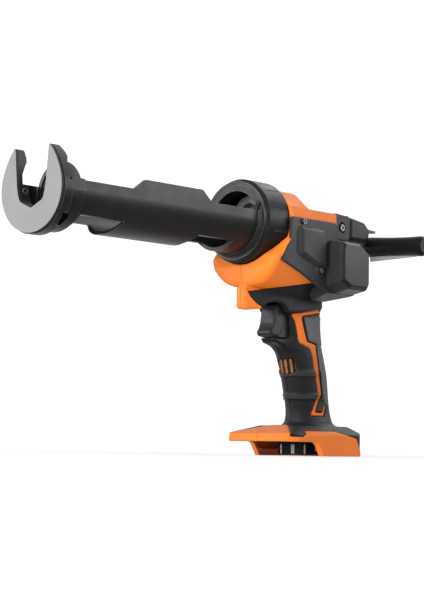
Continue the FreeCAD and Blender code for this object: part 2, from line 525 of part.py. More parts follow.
cover = prism(FLANGE, "xz", -41.0, -38.05)
cover = cover.fuse(prism(PANEL, "xz", -45.0, -40.9))
blk = Part.makeLoft([rr(316.5, 357.0, -60.0, -12.0, 6.0, -38.05), rr(315.0, 356.0, -56.0, -14.2, 7.0, -56.6)], True, True)
cover = cover.fuse(blk)
pan = prism([(-38.5, -60.0), (-20.5, -66.0, 2.0), (-19.0, -60.0), (-19.0, -50.0), (-38.5, -30.0)], "yz", 319.0, 354.0)
pan = pan.common(prism([(318.0, -20.0), (355.0, -20.0), (355.0, -60.2), (335.0, -65.6, 6.0), (318.0, -67.0)], "xz", -60, 0))
pan = pan.cut(cylx(BELLY_R + 0.12, 240, 380, 0, BELLY_Z)).cut(prism([(q[0], q[1] * 1.03 + (0.3 if q[1] > 0 else -0.3)) for q in NECK_PLAN], "xy", -80, -40))
cover = cover.fuse(biggest(pan))
cover = cover.cut(cyly(17.5, -60, -15.0, PIN_X, OUT_Z))
cover = cover.cut(cylx(BELLY_R + 0.1, 200, 400, 0, BELLY_Z).common(box(200, 400, -38.0, 0, -80, 40)))
for x, z in COVER_SCREWS:
    cover = cover.cut(cyly(1.7, -60, -30, x, z)).cut(cyly(2.9, -60, -41.0, x, z))
node("motor_cover", biggest(cover))
cap = Part.makeLoft([rr(315.0, 356.0, -56.0, -14.2, 7.0, -56.65), rr(315.6, 355.4, -55.4, -14.8, 7.0, -58.0),
                     rr(317.4, 353.6, -53.6, -16.6, 7.0, -59.6)], True, True)
node("motor_end_cap", biggest(cap))
csc = None
for x, z in COVER_SCREWS:
    s1 = cyly(2.5, -43.2, -41.03, x, z).fuse(cyly(1.36, -41.1, -32.5, x, z)).cut(cyly(1.4, -44, -42.0, x, z))
    csc = s1 if csc is None else csc.fuse(s1)
node("cover_screws", solids(csc))

# ---------------------------------------------------------------- drive frame, gears, motor
FR_X0, FR_X1, FR_L, FR_R = 305.0, 348.0, -12.5, 21.0
fr = box(FR_X0, FR_X1, FR_L, FR_R, -47.0, 8.6)
fr = fr.cut(box(FR_X0 + 4, FR_X1 - 4, -7.5, 16.0, -60, 20))
fr = fr.cut(box(290, 370, -ROD_W / 2 - 0.2, ROD_W / 2 + 0.2, RACK_PITCH_Z - RACK_ADD - 0.2, RACK_PITCH_Z - RACK_ADD + ROD_H + 0.2))
fr = fr.cut(cyly(17.0, 8.0, 15.4, PIN_X, PIN_Z))            # room for the big gear
fr = fr.cut(cyly(6.55, -30, 40, PIN_X, PIN_Z))
fr = fr.cut(cyly(8.05, -30, 0, PIN_X, OUT_Z)).cut(cyly(6.05, 0, 40, PIN_X, OUT_Z))
fr = fr.common(prism([(FR_X0, 8.6, 2), (FR_X1, 8.6, 2), (FR_X1, -47.0, 10), (FR_X0, -47.0, 18)], "xz", -40, 40))
node("drive_frame", biggest(fr))

SH3 = 4.0
pinion = gear(M_RACK, Z_PIN, 1.0, 1.5, 0.12, PIN_X, PIN_Z, -4.4, 4.4, math.pi / 2)
pinion = pinion.fuse(cyly(SH3, -13.0, 22.0, PIN_X, PIN_Z))
pinion = pinion.fuse(cyly(6.0, 4.4, 8.0, PIN_X, PIN_Z))
node("rack_pinion", biggest(pinion))
g3 = gear(M_GEAR, Z_BIG, 0.85, 1.2, 0.12, PIN_X, PIN_Z, 8.6, 14.6, -math.pi / 2)
g3 = g3.cut(cyly(SH3 + 0.02, 0, 30, PIN_X, PIN_Z))
for k in range(5):
    a = math.radians(72 * k + 20)
    g3 = g3.cut(cyly(2.3, 0, 30, PIN_X + 9.0 * math.cos(a), PIN_Z + 9.0 * math.sin(a)))
node("drive_gear", biggest(g3))
out = gear(M_GEAR, Z_SMALL, 0.85, 1.2, 0.12, PIN_X, OUT_Z, 8.4, 14.8, math.pi / 2 + math.pi / Z_SMALL)
out = out.fuse(cyly(3.5, -18.0, 22.0, PIN_X, OUT_Z))
node("output_shaft", biggest(out))


def bush(ri, ro, y0, y1, z):
    return cyly(ro, y0, y1, PIN_X, z).cut(cyly(ri, y0 - 1, y1 + 1, PIN_X, z))


node("bearing_pinion_left", bush(SH3 + 0.05, 6.5, -12.5, -7.5, PIN_Z))
node("bearing_pinion_right", bush(SH3 + 0.05, 6.5, 16.0, 21.0, PIN_Z))
node("bearing_output", bush(3.55, 6.0, 16.0, 21.0, OUT_Z))

gb = cyly(17.0, -31.8, -16.0, PIN_X, OUT_Z).fuse(cyly(8.0, -16.0, -12.6, PIN_X, OUT_Z))
gb = gb.cut(cyly(14.0, -29.8, -18.2, PIN_X, OUT_Z)).cut(cyly(3.55, -20, -10, PIN_X, OUT_Z)).cut(cyly(2.6, -33, -29, PIN_X, OUT_Z))
node("gearbox_case", biggest(gb))
can = cyly(17.0, -56.0, -32.2, PIN_X, OUT_Z).cut(cyly(15.2, -54.4, -33.8, PIN_X, OUT_Z))
can = can.cut(cyly(2.55, -34.5, -31, PIN_X, OUT_Z)).cut(cyly(2.55, -57, -54, PIN_X, OUT_Z))
for k in range(6):
    a = math.radians(60 * k)
    can = can.cut(cyly(2.4, -57, -54, PIN_X + 10.5 * math.cos(a), OUT_Z + 10.5 * math.sin(a)))
node("motor_can", biggest(can))
st = cyly(15.1, -51.0, -37.0, PIN_X, OUT_Z).cut(cyly(9.6, -60, -30, PIN_X, OUT_Z))
for k in range(6):
    a = math.radians(60 * k + 30)
    st = st.cut(cyly(2.3, -60, -30, PIN_X + 11.4 * math.cos(a), OUT_Z + 11.4 * math.sin(a)))
node("motor_stator", biggest(st))
rot = cyly(9.2, -50.5, -37.5, PIN_X, OUT_Z).fuse(cyly(2.5, -56.2, -27.0, PIN_X, OUT_Z))
node("motor_rotor", biggest(rot))

# ---------------------------------------------------------------- rear guide and release lever
GUIDE = [(351.8, -6.5, 1.0), (351.8, 17.4, 1.5), (357.0, 18.4, 1.0), (372.5, 17.4, 1.0), (378.0, 18.2, 1.0), (382.0, 18.0, 0.5),
         (384.0, 15.8, 0.8), (399.0, 14.2, 0.8), (401.5, 15.6, 0.8), (407.0, 14.8, 2.0), (413.5, 8.5, 3.0), (411.5, -3.0, 3.0),
         (404.0, -6.5, 3.0)]
gd = prism(GUIDE, "xz", -18.4, 18.4)
gd = gd.common(prism([(340.0, -17.6), (372.0, -18.4, 1.0), (382.0, -18.4, 2.0), (384.0, -17.0, 2.0), (414.0, -16.4, 4.0),
                      (414.0, 16.4, 4.0), (384.0, 17.0, 2.0), (382.0, 18.4, 2.0), (340.0, 17.6)], "xy", -30, 40))
gd = gd.cut(box(340, 420, -ROD_W / 2 - 0.9, ROD_W / 2 + 0.9, -7.5, 7.5))
gd = gd.cut(box(355.5, 400.0, 6.9, 14.0, -3.5, 13.5))        # lightening pocket, right side
LEV_Y0, LEV_Y1 = -14.0, -9.4
gd = gd.cut(box(360.0, 420.0, LEV_Y0 - 0.4, LEV_Y1 + 0.4, -0.5, 30.0).cut(box(350, 372, -30, 30, 12.0, 40)))
gd = gd.cut(cyly(1.55, -15.2, -6.0, 366.0, 6.2))
gd = gd.cut(cyly(3.6, -30, -16.2, 366.0, 5.6)).cut(cyly(3.6, 16.2, 30, 366.0, 5.6))
node("rear_guide", biggest(gd))
bl = box(402.0, 413.0, -ROD_W / 2 - 0.8, ROD_W / 2 + 0.8, -7.3, 7.4).cut(box(390, 420, -ROD_W / 2 - 0.15, ROD_W / 2 + 0.15, RACK_PITCH_Z - RACK_ADD - 0.15, RACK_PITCH_Z - RACK_ADD + ROD_H + 0.15))
node("rod_bushing", biggest(bl))
gs = None
for s in (-1, 1):
    a, b = (-18.9, -16.25) if s < 0 else (16.25, 18.9)
    k = cyly(3.3, a, b, 366.0, 5.6)
    k = k.cut(cyly(1.5, -20, -17.9, 366.0, 5.6) if s < 0 else cyly(1.5, 17.9, 20, 366.0, 5.6))
    gs = k if gs is None else gs.fuse(k)
node("guide_screws", solids(gs))
LEVER = [(362.5, 3.4, 2.5), (362.5, 9.4, 2.5), (374.0, 10.6, 1.0), (384.0, 13.8, 1.5), (398.0, 12.6, 2.0), (402.0, 9.4, 2.0),
         (422.5, 8.6, 1.0), (422.5, 6.2, 1.0), (400.0, 6.0, 3.0), (376.0, 5.2, 2.0)]
lever = prism(LEVER, "xz", LEV_Y0, LEV_Y1).cut(cyly(1.6, -20, 0, 366.0, 6.2))
node("release_lever", biggest(lever))
node("lever_pin", cyly(1.5, -15.1, -6.1, 366.0, 6.2))

# ---------------------------------------------------------------- trigger, switch, dial
TRIG = [(286.6, -71.9, 2.0), (283.6, -80.0, 9.0), (282.4, -89.0, 8.0), (277.8, -95.6, 2.6), (279.4, -100.0, 2.5), (288.0, -101.2, 3.0),
        (306.5, -101.2, 1.0), (306.5, -71.9, 1.0)]
tr = prism(TRIG, "xz", -8.9, 8.9)
tr = tr.cut(box(298.0, 310.0, -6.6, 6.6, -98.5, -74.5))
tr = tr.fuse(cylx(3.0, 297.9, 327.0, 0, -86.5))
node("trigger", biggest(tr))
sw = box(317.0, 337.5, -8.0, 8.0, -103.5, -70.0)
sw = sw.cut(cylx(3.08, 310, 335.8, 0, -86.5))
sw = sw.fuse(box(320.0, 336.0, -6.5, 6.5, -70.1, -65.5))
node("switch_body", biggest(sw))
hx = Part.makeHelix(2.9, 17.2, 4.6)
hx.rotate(V(0, 0, 0), V(0, 1, 0), 90)
hx.translate(V(298.9, 0, -86.5))
p0 = hx.Edges[0].Vertexes[0].Point
circ = Part.Wire(Part.makeCircle(0.55, p0, hx.Edges[0].tangentAt(hx.Edges[0].FirstParameter)))
spr = Part.Wire(hx.Edges).makePipeShell([circ], True, True)
node("trigger_spring", biggest(spr))
dial = dial_cyl(DIAL_R, DIAL_H)
for k in range(12):
    a = math.radians(30 * k)
    u = V(math.cos(math.radians(14)), 0, math.sin(math.radians(14)))
    d = u * (math.cos(a) * (DIAL_R + 0.5)) + V(0, 1, 0) * (math.sin(a) * (DIAL_R + 0.5))
    dial = dial.cut(Part.makeCylinder(1.5, DIAL_H + 4, DIAL_C + d - DIAL_AX * (DIAL_H / 2 + 2), DIAL_AX))
dial = dial.cut(dial_cyl(1.37, DIAL_H + 4))
node("speed_dial", biggest(dial))
node("dial_pin", dial_cyl(1.3, DIAL_H + 4.6))

# ---------------------------------------------------------------- electrics in the grip and base
node("control_board", box(300.0, 356.0, -24.0, 24.0, -189.2, -187.6))
tb = box(319.0, 352.0, -17.0, 17.0, -203.2, BASE_LIP - 0.05)
tb = tb.cut(box(310, 346, -15.0, -12.4, -210, -194)).cut(box(310, 346, -2.6, 2.6, -210, -194)).cut(box(310, 346, 12.4, 15.0, -210, -194))
node("terminal_block", biggest(tb))
bl1 = None
for y0, y1 in ((-14.7, -12.7), (-2.2, 2.2), (12.7, 14.7)):
    k = box(319.6, 345.9, y0, y1, -202.6, -194.05)
    bl1 = k if bl1 is None else bl1.fuse(k)
node("battery_contacts", solids(bl1))
wires = []
for y, zt in ((-4.0, -103.6), (4.0, -103.6)):
    pts = [V(335.0, y, zt), V(336.0, y, -108.0), V(343.5, y * 1.3, -125.0), V(348.0, y * 1.3, -150.0), V(348.5, y * 1.3, -172.0), V(348.0, y * 1.3, -186.0)]
    sp = Part.BSplineCurve()
    sp.interpolate(pts)
    w = Part.Wire(sp.toShape())
    c = Part.Wire(Part.makeCircle(1.3, pts[0], sp.tangent(0)[0]))
    wires.append(w.makePipeShell([c], True, True))
node("wire_pair", Part.makeCompound([s for w in wires for s in w.Solids]))

# ---------------------------------------------------------------- export
move = V(ORIGIN_X, 0, AXIS_H)
for name, shape in NODES.items():
    s = shape.copy()
    s.translate(move)
    s.exportStep("parts/%s.step" % name)
    print(name, len(s.Solids), "valid" if s.isValid() else "INVALID", round(s.Volume / 1000.0, 2))
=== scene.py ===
import bpy
import math
import numpy as np
from mathutils import Matrix, Vector


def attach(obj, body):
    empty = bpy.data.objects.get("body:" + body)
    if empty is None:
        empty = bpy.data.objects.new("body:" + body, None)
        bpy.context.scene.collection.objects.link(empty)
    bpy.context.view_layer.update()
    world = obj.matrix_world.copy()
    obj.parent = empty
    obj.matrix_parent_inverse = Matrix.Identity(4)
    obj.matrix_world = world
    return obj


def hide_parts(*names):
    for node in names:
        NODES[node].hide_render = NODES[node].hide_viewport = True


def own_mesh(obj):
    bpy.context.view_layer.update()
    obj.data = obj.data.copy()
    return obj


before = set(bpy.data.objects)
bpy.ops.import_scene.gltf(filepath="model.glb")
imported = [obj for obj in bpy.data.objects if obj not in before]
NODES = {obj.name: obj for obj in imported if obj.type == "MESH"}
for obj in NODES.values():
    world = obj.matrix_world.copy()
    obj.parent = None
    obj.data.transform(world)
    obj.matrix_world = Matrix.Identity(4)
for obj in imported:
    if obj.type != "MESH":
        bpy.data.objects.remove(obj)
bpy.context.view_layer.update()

# Lengths below are millimetres in the tool's own axes: x back from the front plate, y to the right, z up from the barrel axis.
OX, OZ = -342.0, 204.5


def row(p):
    """Points in the tool's axes, as metres in the row frame."""
    p = np.asarray(p, float)
    return (p + np.array([OX, 0.0, OZ])) / 1000.0


# ------------------------------------------------------------------ distance fields
class Grid:
    def __init__(self, lo, hi, h):
        self.h = h
        self.lo = np.array(lo, float)
        n = [int(math.ceil((b - a) / h)) + 1 for a, b in zip(lo, hi)]
        ax = [(a + h * np.arange(k)).astype(np.float32) for a, k in zip(lo, n)]
        self.x, self.y, self.z = ax[0][:, None, None], ax[1][None, :, None], ax[2][None, None, :]
        self.shape = tuple(n)


def rounded(pts, seg=6):
    """Outline with arcs at the corners that carry a radius."""
    out = []
    n = len(pts)
    for i in range(n):
        p = np.array(pts[i][:2], float)
        r = pts[i][2] if len(pts[i]) > 2 else 0.0
        if r <= 0:
            out.append(tuple(p))
            continue
        a = np.array(pts[i - 1][:2], float) - p
        b = np.array(pts[(i + 1) % n][:2], float) - p
        la, lb = np.linalg.norm(a), np.linalg.norm(b)
        a, b = a / la, b / lb
        ang = math.acos(max(-1.0, min(1.0, float(a @ b))))
        if ang > math.pi - 0.02:
            out.append(tuple(p))
            continue
        t = min(r / math.tan(ang / 2), 0.49 * la, 0.49 * lb)
        rr = t * math.tan(ang / 2)
        m = (a + b) / np.linalg.norm(a + b)
        c = p + m * (rr / math.sin(ang / 2))
        s, e = p + a * t - c, p + b * t - c
        a0, a1 = math.atan2(s[1], s[0]), math.atan2(e[1], e[0])
        d = (a1 - a0 + math.pi) % (2 * math.pi) - math.pi
        for k in range(seg + 1):
            q = a0 + d * k / seg
            out.append((c[0] + rr * math.cos(q), c[1] + rr * math.sin(q)))
    return out


def poly(pts, u, v):
    """Signed distance to an outline."""
    pts = rounded(pts)
    d, s = None, None
    n = len(pts)
    for i in range(n):
        (ax, ay), (bx, by) = pts[i], pts[(i + 1) % n]
        ex, ey = bx - ax, by - ay
        q = ex * ex + ey * ey
        if q < 1e-12:
            continue
        wx, wy = u - ax, v - ay
        t = np.clip((wx * ex + wy * ey) / q, 0, 1)
        dd = (wx - ex * t) ** 2 + (wy - ey * t) ** 2
        c1, c2, c3 = (v >= ay), (v < by), (ex * wy > ey * wx)
        flip = (c1 & c2 & c3) | (~c1 & ~c2 & ~c3)
        d = dd if d is None else np.minimum(d, dd)
        s = np.where(flip, -1.0, 1.0) if s is None else np.where(flip, -s, s)
    return (s * np.sqrt(d)).astype(np.float32)


def rmax(a, b, r):
    """Intersection with a round edge."""
    if r <= 0:
        return np.maximum(a, b)
    return np.minimum(-r, np.maximum(a, b)) + np.sqrt(np.maximum(a + r, 0) ** 2 + np.maximum(b + r, 0) ** 2)


def rmin(a, b, r):
    """Union with a fillet."""
    if r <= 0:
        return np.minimum(a, b)
    return np.maximum(r, np.minimum(a, b)) - np.sqrt(np.maximum(r - a, 0) ** 2 + np.maximum(r - b, 0) ** 2)


def cmax(a, b, c):
    """Intersection with a chamfer."""
    return np.maximum(np.maximum(a, b), (a + b + c) * 0.70711)


def cmin(a, b, c):
    return np.minimum(np.minimum(a, b), (a + b - c) * 0.70711)


def cut(a, b, r=0.0):
    return rmax(a, -b, r)


def slab(v, lo, hi):
    return np.abs(v - (lo + hi) / 2) - (hi - lo) / 2


def box3(g, x0, x1, y0, y1, z0, z1, r=0.0):
    return rmax(rmax(slab(g.x, x0, x1), slab(g.y, y0, y1), r), slab(g.z, z0, z1), r)


def cyl_y(g, x, z, r):
    return np.sqrt((g.x - x) ** 2 + (g.z - z) ** 2) - r


def cyl_x(g, r, y=0.0, z=0.0):
    return np.sqrt((g.y - y) ** 2 + (g.z - z) ** 2) - r


def smooth(t, a, b):
    k = np.clip((t - a) / (b - a), 0, 1)
    return k * k * (3 - 2 * k)


def spline(xs, ys, x):
    """Natural cubic through (xs, ys), xs rising."""
    xs, ys = np.asarray(xs, float), np.asarray(ys, float)
    n = len(xs)
    h = np.diff(xs)
    a = np.zeros((n, n))
    b = np.zeros(n)
    a[0, 0] = a[-1, -1] = 1
    for i in range(1, n - 1):
        a[i, i - 1], a[i, i], a[i, i + 1] = h[i - 1], 2 * (h[i - 1] + h[i]), h[i]
        b[i] = 6 * ((ys[i + 1] - ys[i]) / h[i] - (ys[i] - ys[i - 1]) / h[i - 1])
    m = np.linalg.solve(a, b)
    x = np.clip(np.asarray(x, float), xs[0], xs[-1])
    k = np.clip(np.searchsorted(xs, x) - 1, 0, n - 2)
    t0, t1 = x - xs[k], xs[k + 1] - x
    return (m[k] * t1 ** 3 + m[k + 1] * t0 ** 3) / (6 * h[k]) + (ys[k] / h[k] - m[k] * h[k] / 6) * t1 + (ys[k + 1] / h[k] - m[k + 1] * h[k] / 6) * t0


def surface(f, g):
    """Quad mesh of the zero level: one point per cell the level passes through."""
    f = np.ascontiguousarray(np.broadcast_to(f, g.shape), dtype=np.float32)
    s = f < 0
    nx, ny, nz = f.shape
    cnt = np.zeros((nx - 1, ny - 1, nz - 1), np.int8)
    for i in (0, 1):
        for j in (0, 1):
            for k in (0, 1):
                cnt += s[i:nx - 1 + i, j:ny - 1 + j, k:nz - 1 + k]
    act = (cnt > 0) & (cnt < 8)
    ci, cj, ck = np.nonzero(act)
    idx = np.full(act.shape, -1, np.int32)
    idx[ci, cj, ck] = np.arange(len(ci), dtype=np.int32)
    acc = np.zeros((len(ci), 3), np.float64)
    num = np.zeros(len(ci), np.float64)
    corner = {}
    for i in (0, 1):
        for j in (0, 1):
            for k in (0, 1):
                corner[(i, j, k)] = f[ci + i, cj + j, ck + k].astype(np.float64)
    for a in corner:
        for ax in range(3):
            if a[ax]:
                continue
            b = tuple(v + (1 if q == ax else 0) for q, v in enumerate(a))
            fa, fb = corner[a], corner[b]
            m = (fa < 0) != (fb < 0)
            t = np.where(m, fa / np.where(m, fa - fb, 1), 0)
            p = np.array(a, float)[None, :] + np.zeros((len(ci), 3))
            p[:, ax] += t
            acc += np.where(m[:, None], p, 0)
            num += m
    loc = acc / num[:, None]
    pts = np.stack([ci, cj, ck], 1) + loc
    quads = []
    for ax in range(3):
        o = [q for q in range(3) if q != ax]
        sl_a = [slice(None)] * 3
        sl_b = [slice(None)] * 3
        sl_a[ax], sl_b[ax] = slice(0, -1), slice(1, None)
        for q in o:
            sl_a[q] = sl_b[q] = slice(1, -1)
        sa, sb = s[tuple(sl_a)], s[tuple(sl_b)]
        e = np.argwhere(sa != sb)
        if not len(e):
            continue
        down = sa[e[:, 0], e[:, 1], e[:, 2]]
        c = e.copy()
        for q in o:
            c[:, q] += 1
        ring = []
        for d0, d1 in ((-1, -1), (0, -1), (0, 0), (-1, 0)):
            cc = c.copy()
            cc[:, o[0]] += d0
            cc[:, o[1]] += d1
            ring.append(idx[cc[:, 0], cc[:, 1], cc[:, 2]])
        ring = np.stack(ring, 1)
        turn = down if ax != 1 else ~down
        ring[~turn] = ring[~turn][:, ::-1]
        quads.append(ring)
    quads = np.concatenate(quads)
    return g.lo[None, :] + g.h * pts, quads


def to_mesh(name, pts, quads, keep=1.0):
    me = bpy.data.meshes.new(name)
    v = row(pts).astype(np.float32)
    me.vertices.add(len(v))
    me.vertices.foreach_set("co", v.ravel())
    me.loops.add(quads.size)
    me.loops.foreach_set("vertex_index", quads.astype(np.int32).ravel())
    me.polygons.add(len(quads))
    me.polygons.foreach_set("loop_start", np.arange(0, quads.size, 4, dtype=np.int32))
    me.update(calc_edges=True)
    me.validate()
    ob = bpy.data.objects.new(name, me)
    bpy.context.scene.collection.objects.link(ob)
    if keep < 1:
        m = ob.modifiers.new("thin", "DECIMATE")
        m.ratio = keep
        dg = bpy.context.evaluated_depsgraph_get()
        new = bpy.data.meshes.new_from_object(ob.evaluated_get(dg))
        ob.modifiers.clear()
        ob.data = new
        new.name = name
    ob.data.polygons.foreach_set("use_smooth", np.ones(len(ob.data.polygons), bool))
    w = ob.modifiers.new("shade", "WEIGHTED_NORMAL")
    w.weight = 60
    return ob


def piece(name, f, g, body, nodes, mat, keep=1.0):
    pts, quads = surface(f, g)
    ob = to_mesh(name, pts, quads, keep)
    ob.data.materials.clear()
    ob.data.materials.append(mat)
    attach(ob, body)
    if nodes:
        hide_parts(*nodes)
    return ob


def tool_points(ob):
    co = np.zeros(len(ob.data.vertices) * 3, np.float32)
    ob.data.vertices.foreach_get("co", co)
    return co.reshape(-1, 3).astype(float) * 1000.0 - np.array([OX, 0.0, OZ])


def paint(ob, name, values):
    a = ob.data.attributes.new(name, "FLOAT", "POINT")
    a.data.foreach_set("value", np.asarray(values, np.float32))


# ------------------------------------------------------------------ materials
def lin(c):
    """sRGB hex colour as linear RGBA."""
    out = []
    for i in (0, 2, 4):
        v = int(c[i:i + 2], 16) / 255.0
        out.append(v / 12.92 if v <= 0.04045 else ((v + 0.055) / 1.055) ** 2.4)
    return (*out, 1.0)


class Mat:
    def __init__(self, name):
        self.m = bpy.data.materials.new(name)
        self.m.use_nodes = True
        self.t = self.m.node_tree
        self.b = self.t.nodes["Principled BSDF"]
        self.co = self.t.nodes.new("ShaderNodeTexCoord").outputs["Object"]

    def new(self, kind, **props):
        n = self.t.nodes.new(kind)
        for k, v in props.items():
            setattr(n, k, v)
        return n

    def put(self, node, **vals):
        for k, v in vals.items():
            node.inputs[k.replace("_", " ")].default_value = v
        return node

    def link(self, a, b):
        self.t.links.new(a, b)

    def noise(self, scale, detail=3.0, rough=0.55, vec=None):
        n = self.new("ShaderNodeTexNoise")
        n.inputs["Scale"].default_value = scale
        n.inputs["Detail"].default_value = detail
        n.inputs["Roughness"].default_value = rough
        self.link(vec if vec is not None else self.co, n.inputs["Vector"])
        return n.outputs["Fac"]

    def voronoi(self, scale, feature="F1", rand=1.0, vec=None):
        n = self.new("ShaderNodeTexVoronoi", feature=feature)
        n.inputs["Scale"].default_value = scale
        n.inputs["Randomness"].default_value = rand
        self.link(vec if vec is not None else self.co, n.inputs["Vector"])
        return n.outputs["Distance"]

    def remap(self, fac, a, b, c, d, kind="LINEAR"):
        n = self.new("ShaderNodeMapRange", interpolation_type=kind)
        for k, v in zip(("From Min", "From Max", "To Min", "To Max"), (a, b, c, d)):
            n.inputs[k].default_value = v
        self.link(fac, n.inputs["Value"])
        return n.outputs["Result"]

    def math(self, op, a, b=None):
        n = self.new("ShaderNodeMath", operation=op)
        for i, v in enumerate((a, b)):
            if v is None:
                continue
            if isinstance(v, (int, float)):
                n.inputs[i].default_value = v
            else:
                self.link(v, n.inputs[i])
        return n.outputs[0]

    def mix(self, fac, a, b):
        n = self.new("ShaderNodeMix", data_type="RGBA")
        self.link(fac, n.inputs[0])
        for v, s in ((a, n.inputs[6]), (b, n.inputs[7])):
            if isinstance(v, tuple):
                s.default_value = v
            else:
                self.link(v, s)
        return n.outputs[2]

    def attr(self, name):
        return self.new("ShaderNodeAttribute", attribute_name=name).outputs["Fac"]

    def bump(self, height, strength, dist, normal=None):
        n = self.new("ShaderNodeBump")
        n.inputs["Strength"].default_value = strength
        n.inputs["Distance"].default_value = dist
        self.link(height, n.inputs["Height"])
        if normal is not None:
            self.link(normal, n.inputs["Normal"])
        return n.outputs["Normal"]

    def out(self, color=None, rough=None, normal=None, **fixed):
        for k, v in fixed.items():
            self.b.inputs[k.replace("_", " ")].default_value = v
        for s, k in ((color, "Base Color"), (rough, "Roughness"), (normal, "Normal")):
            if s is None:
                continue
            if isinstance(s, (tuple, float)):
                self.b.inputs[k].default_value = s
            else:
                self.link(s, self.b.inputs[k])
        return self.m


def moulded(name, dark, light, r0, r1, grain=1400.0, depth=0.00006, edge_wear_and_highlight=None, painted_shade=None, **fixed):
    """Injection-moulded plastic: spark-eroded grain, faint flow marks in colour and gloss, small scuffs."""
    m = Mat(name)
    big = m.remap(m.noise(18.0, 4.0), 0.35, 0.65, 0.0, 1.0)
    col = m.mix(big, lin(dark), lin(light))
    if painted_shade:                                             # painted shade: marked faces take a dark colour, standing in for the shade inside a recess
        col = m.mix(m.attr("painted_shade"), col, lin(painted_shade))
    if edge_wear_and_highlight:                                              # edges go pale: partly handling wear, partly a painted highlight along every edge, concave ones too
        bv = m.new("ShaderNodeBevel", samples=4)
        bv.inputs["Radius"].default_value = 0.0008
        dn = m.new("ShaderNodeVectorMath", operation="DOT_PRODUCT")
        m.link(bv.outputs["Normal"], dn.inputs[0])
        m.link(m.new("ShaderNodeNewGeometry").outputs["Normal"], dn.inputs[1])
        rub_and_highlight = m.math("MULTIPLY", m.remap(dn.outputs["Value"], 0.985, 0.86, 0.0, 1.0), m.remap(m.noise(90.0, 4.0), 0.3, 0.6, 0.45, 1.0))
        col = m.mix(rub_and_highlight, col, lin(edge_wear_and_highlight))
    scuff = m.remap(m.noise(160.0, 8.0, 0.7), 0.62, 0.74, 0.0, 1.0)
    rough = m.math("ADD", m.remap(m.noise(60.0, 5.0), 0.3, 0.7, r0, r1), m.math("MULTIPLY", scuff, 0.06))
    grain_h = m.noise(grain, 2.0, 0.6)
    nrm = m.bump(grain_h, 0.35, depth)
    nrm = m.bump(m.noise(140.0, 2.0), 0.08, 0.0003, nrm)
    return m.out(col, rough, nrm, **fixed)


ORANGE = moulded("orange_nylon", "E0701E", "E87826", 0.46, 0.56, 1500.0, 0.00004, Specular_IOR_Level=0.2)
# the base's orange, with painted shade darkening the faces inside the battery bay
ORANGE_BASE = moulded("orange_base", "E0701E", "E87826", 0.46, 0.56, 1500.0, 0.00004, painted_shade="7A3010", Specular_IOR_Level=0.2)
ORANGE_CORE = moulded("orange_core", "D2641C", "DC6E24", 0.46, 0.56, 1500.0, 0.00004, Specular_IOR_Level=0.2)
# the last colour of these three is for pale edges: part wear, part painted highlight
CHAR = moulded("charcoal_nylon", "151516", "1B1B1C", 0.33, 0.44, 1300.0, 0.00007, "5C5C5E", Specular_IOR_Level=0.24)
CHAR_SOFT = moulded("charcoal_cover", "28282A", "303032", 0.34, 0.46, 1200.0, 0.00008, "5A5A5C", Specular_IOR_Level=0.13)
RING = moulded("ring_nylon", "121214", "171719", 0.34, 0.46, 1300.0, 0.00007, "545456", Specular_IOR_Level=0.14)
BLACK = moulded("black_nylon", "0E0E10", "141416", 0.36, 0.48, 1500.0, 0.00005, Specular_IOR_Level=0.32)
GLOSS = moulded("black_gloss", "0C0C0E", "111113", 0.38, 0.48, 900.0, 0.00003, Specular_IOR_Level=0.2)
TRIGGER = moulded("trigger_plastic", "1E1E22", "26262B", 0.36, 0.46, 1600.0, 0.00003, Specular_IOR_Level=0.3)
# mid grey for the rod boss, lighter than the black tube it belongs to: painted light, for light reaching it inside the
# tube
BOSS = moulded("boss_nylon", "58585A", "646466", 0.36, 0.48, 1400.0, 0.00005, Specular_IOR_Level=0.4)


def rubber():
    """Soft overmould: fine matt skin, dotted zones and coarser rear pads."""
    m = Mat("grip_rubber")
    dots, pad, band = m.attr("dots"), m.attr("pad"), m.attr("band")
    big = m.remap(m.noise(22.0, 4.0), 0.35, 0.65, 0.0, 1.0)
    col = m.mix(big, lin("151517"), lin("1B1B1D"))
    # raised bands: smoother gloss, and a lighter colour that is painted sheen
    col = m.mix(band, col, lin("2E2E30"))
    grit = m.remap(m.noise(900.0, 3.0, 0.7), 0.35, 0.65, 0.0, 1.0)
    padcol = m.mix(grit, lin("404042"), lin("6E6E70"))
    col = m.mix(pad, col, padcol)
    cells = m.voronoi(620.0, "F1", 0.12)
    dot_h = m.math("MULTIPLY", m.remap(cells, 0.18, 0.42, 1.0, 0.0, "SMOOTHSTEP"), dots)
    col = m.mix(m.math("MULTIPLY", dot_h, 0.55), col, lin("101012"))
    rough = m.remap(m.noise(70.0, 5.0), 0.3, 0.7, 0.44, 0.58)
    rough = m.math("ADD", rough, m.math("MULTIPLY", pad, 0.14))
    rough = m.math("SUBTRACT", rough, m.math("MULTIPLY", band, 0.16))
    n = m.bump(m.noise(1500.0, 2.0), 0.3, 0.00005)
    n = m.bump(dot_h, 0.9, 0.00025, n)
    n = m.bump(m.math("MULTIPLY", m.noise(750.0, 4.0, 0.75), pad), 0.8, 0.0004, n)
    return m.out(col, rough, n, Specular_IOR_Level=0.28)


RUBBER = rubber()


def metal(name, a, b, r0, r1, stretch=(1.0, 1.0, 1.0), scale=700.0, depth=0.00003):
    """Plated or ground metal with a directional grain."""
    m = Mat(name)
    mp = m.new("ShaderNodeMapping")
    mp.inputs["Scale"].default_value = stretch
    m.link(m.co, mp.inputs["Vector"])
    g = m.noise(scale, 4.0, 0.6, mp.outputs["Vector"])
    blotch = m.remap(m.noise(30.0, 5.0), 0.35, 0.65, 0.0, 1.0)
    col = m.mix(m.math("MULTIPLY", m.math("ADD", blotch, m.remap(g, 0.3, 0.7, 0.0, 1.0)), 0.5), lin(a), lin(b))
    rough = m.remap(g, 0.3, 0.7, r0, r1)
    return m.out(col, rough, m.bump(g, 0.25, depth), Metallic=1.0)




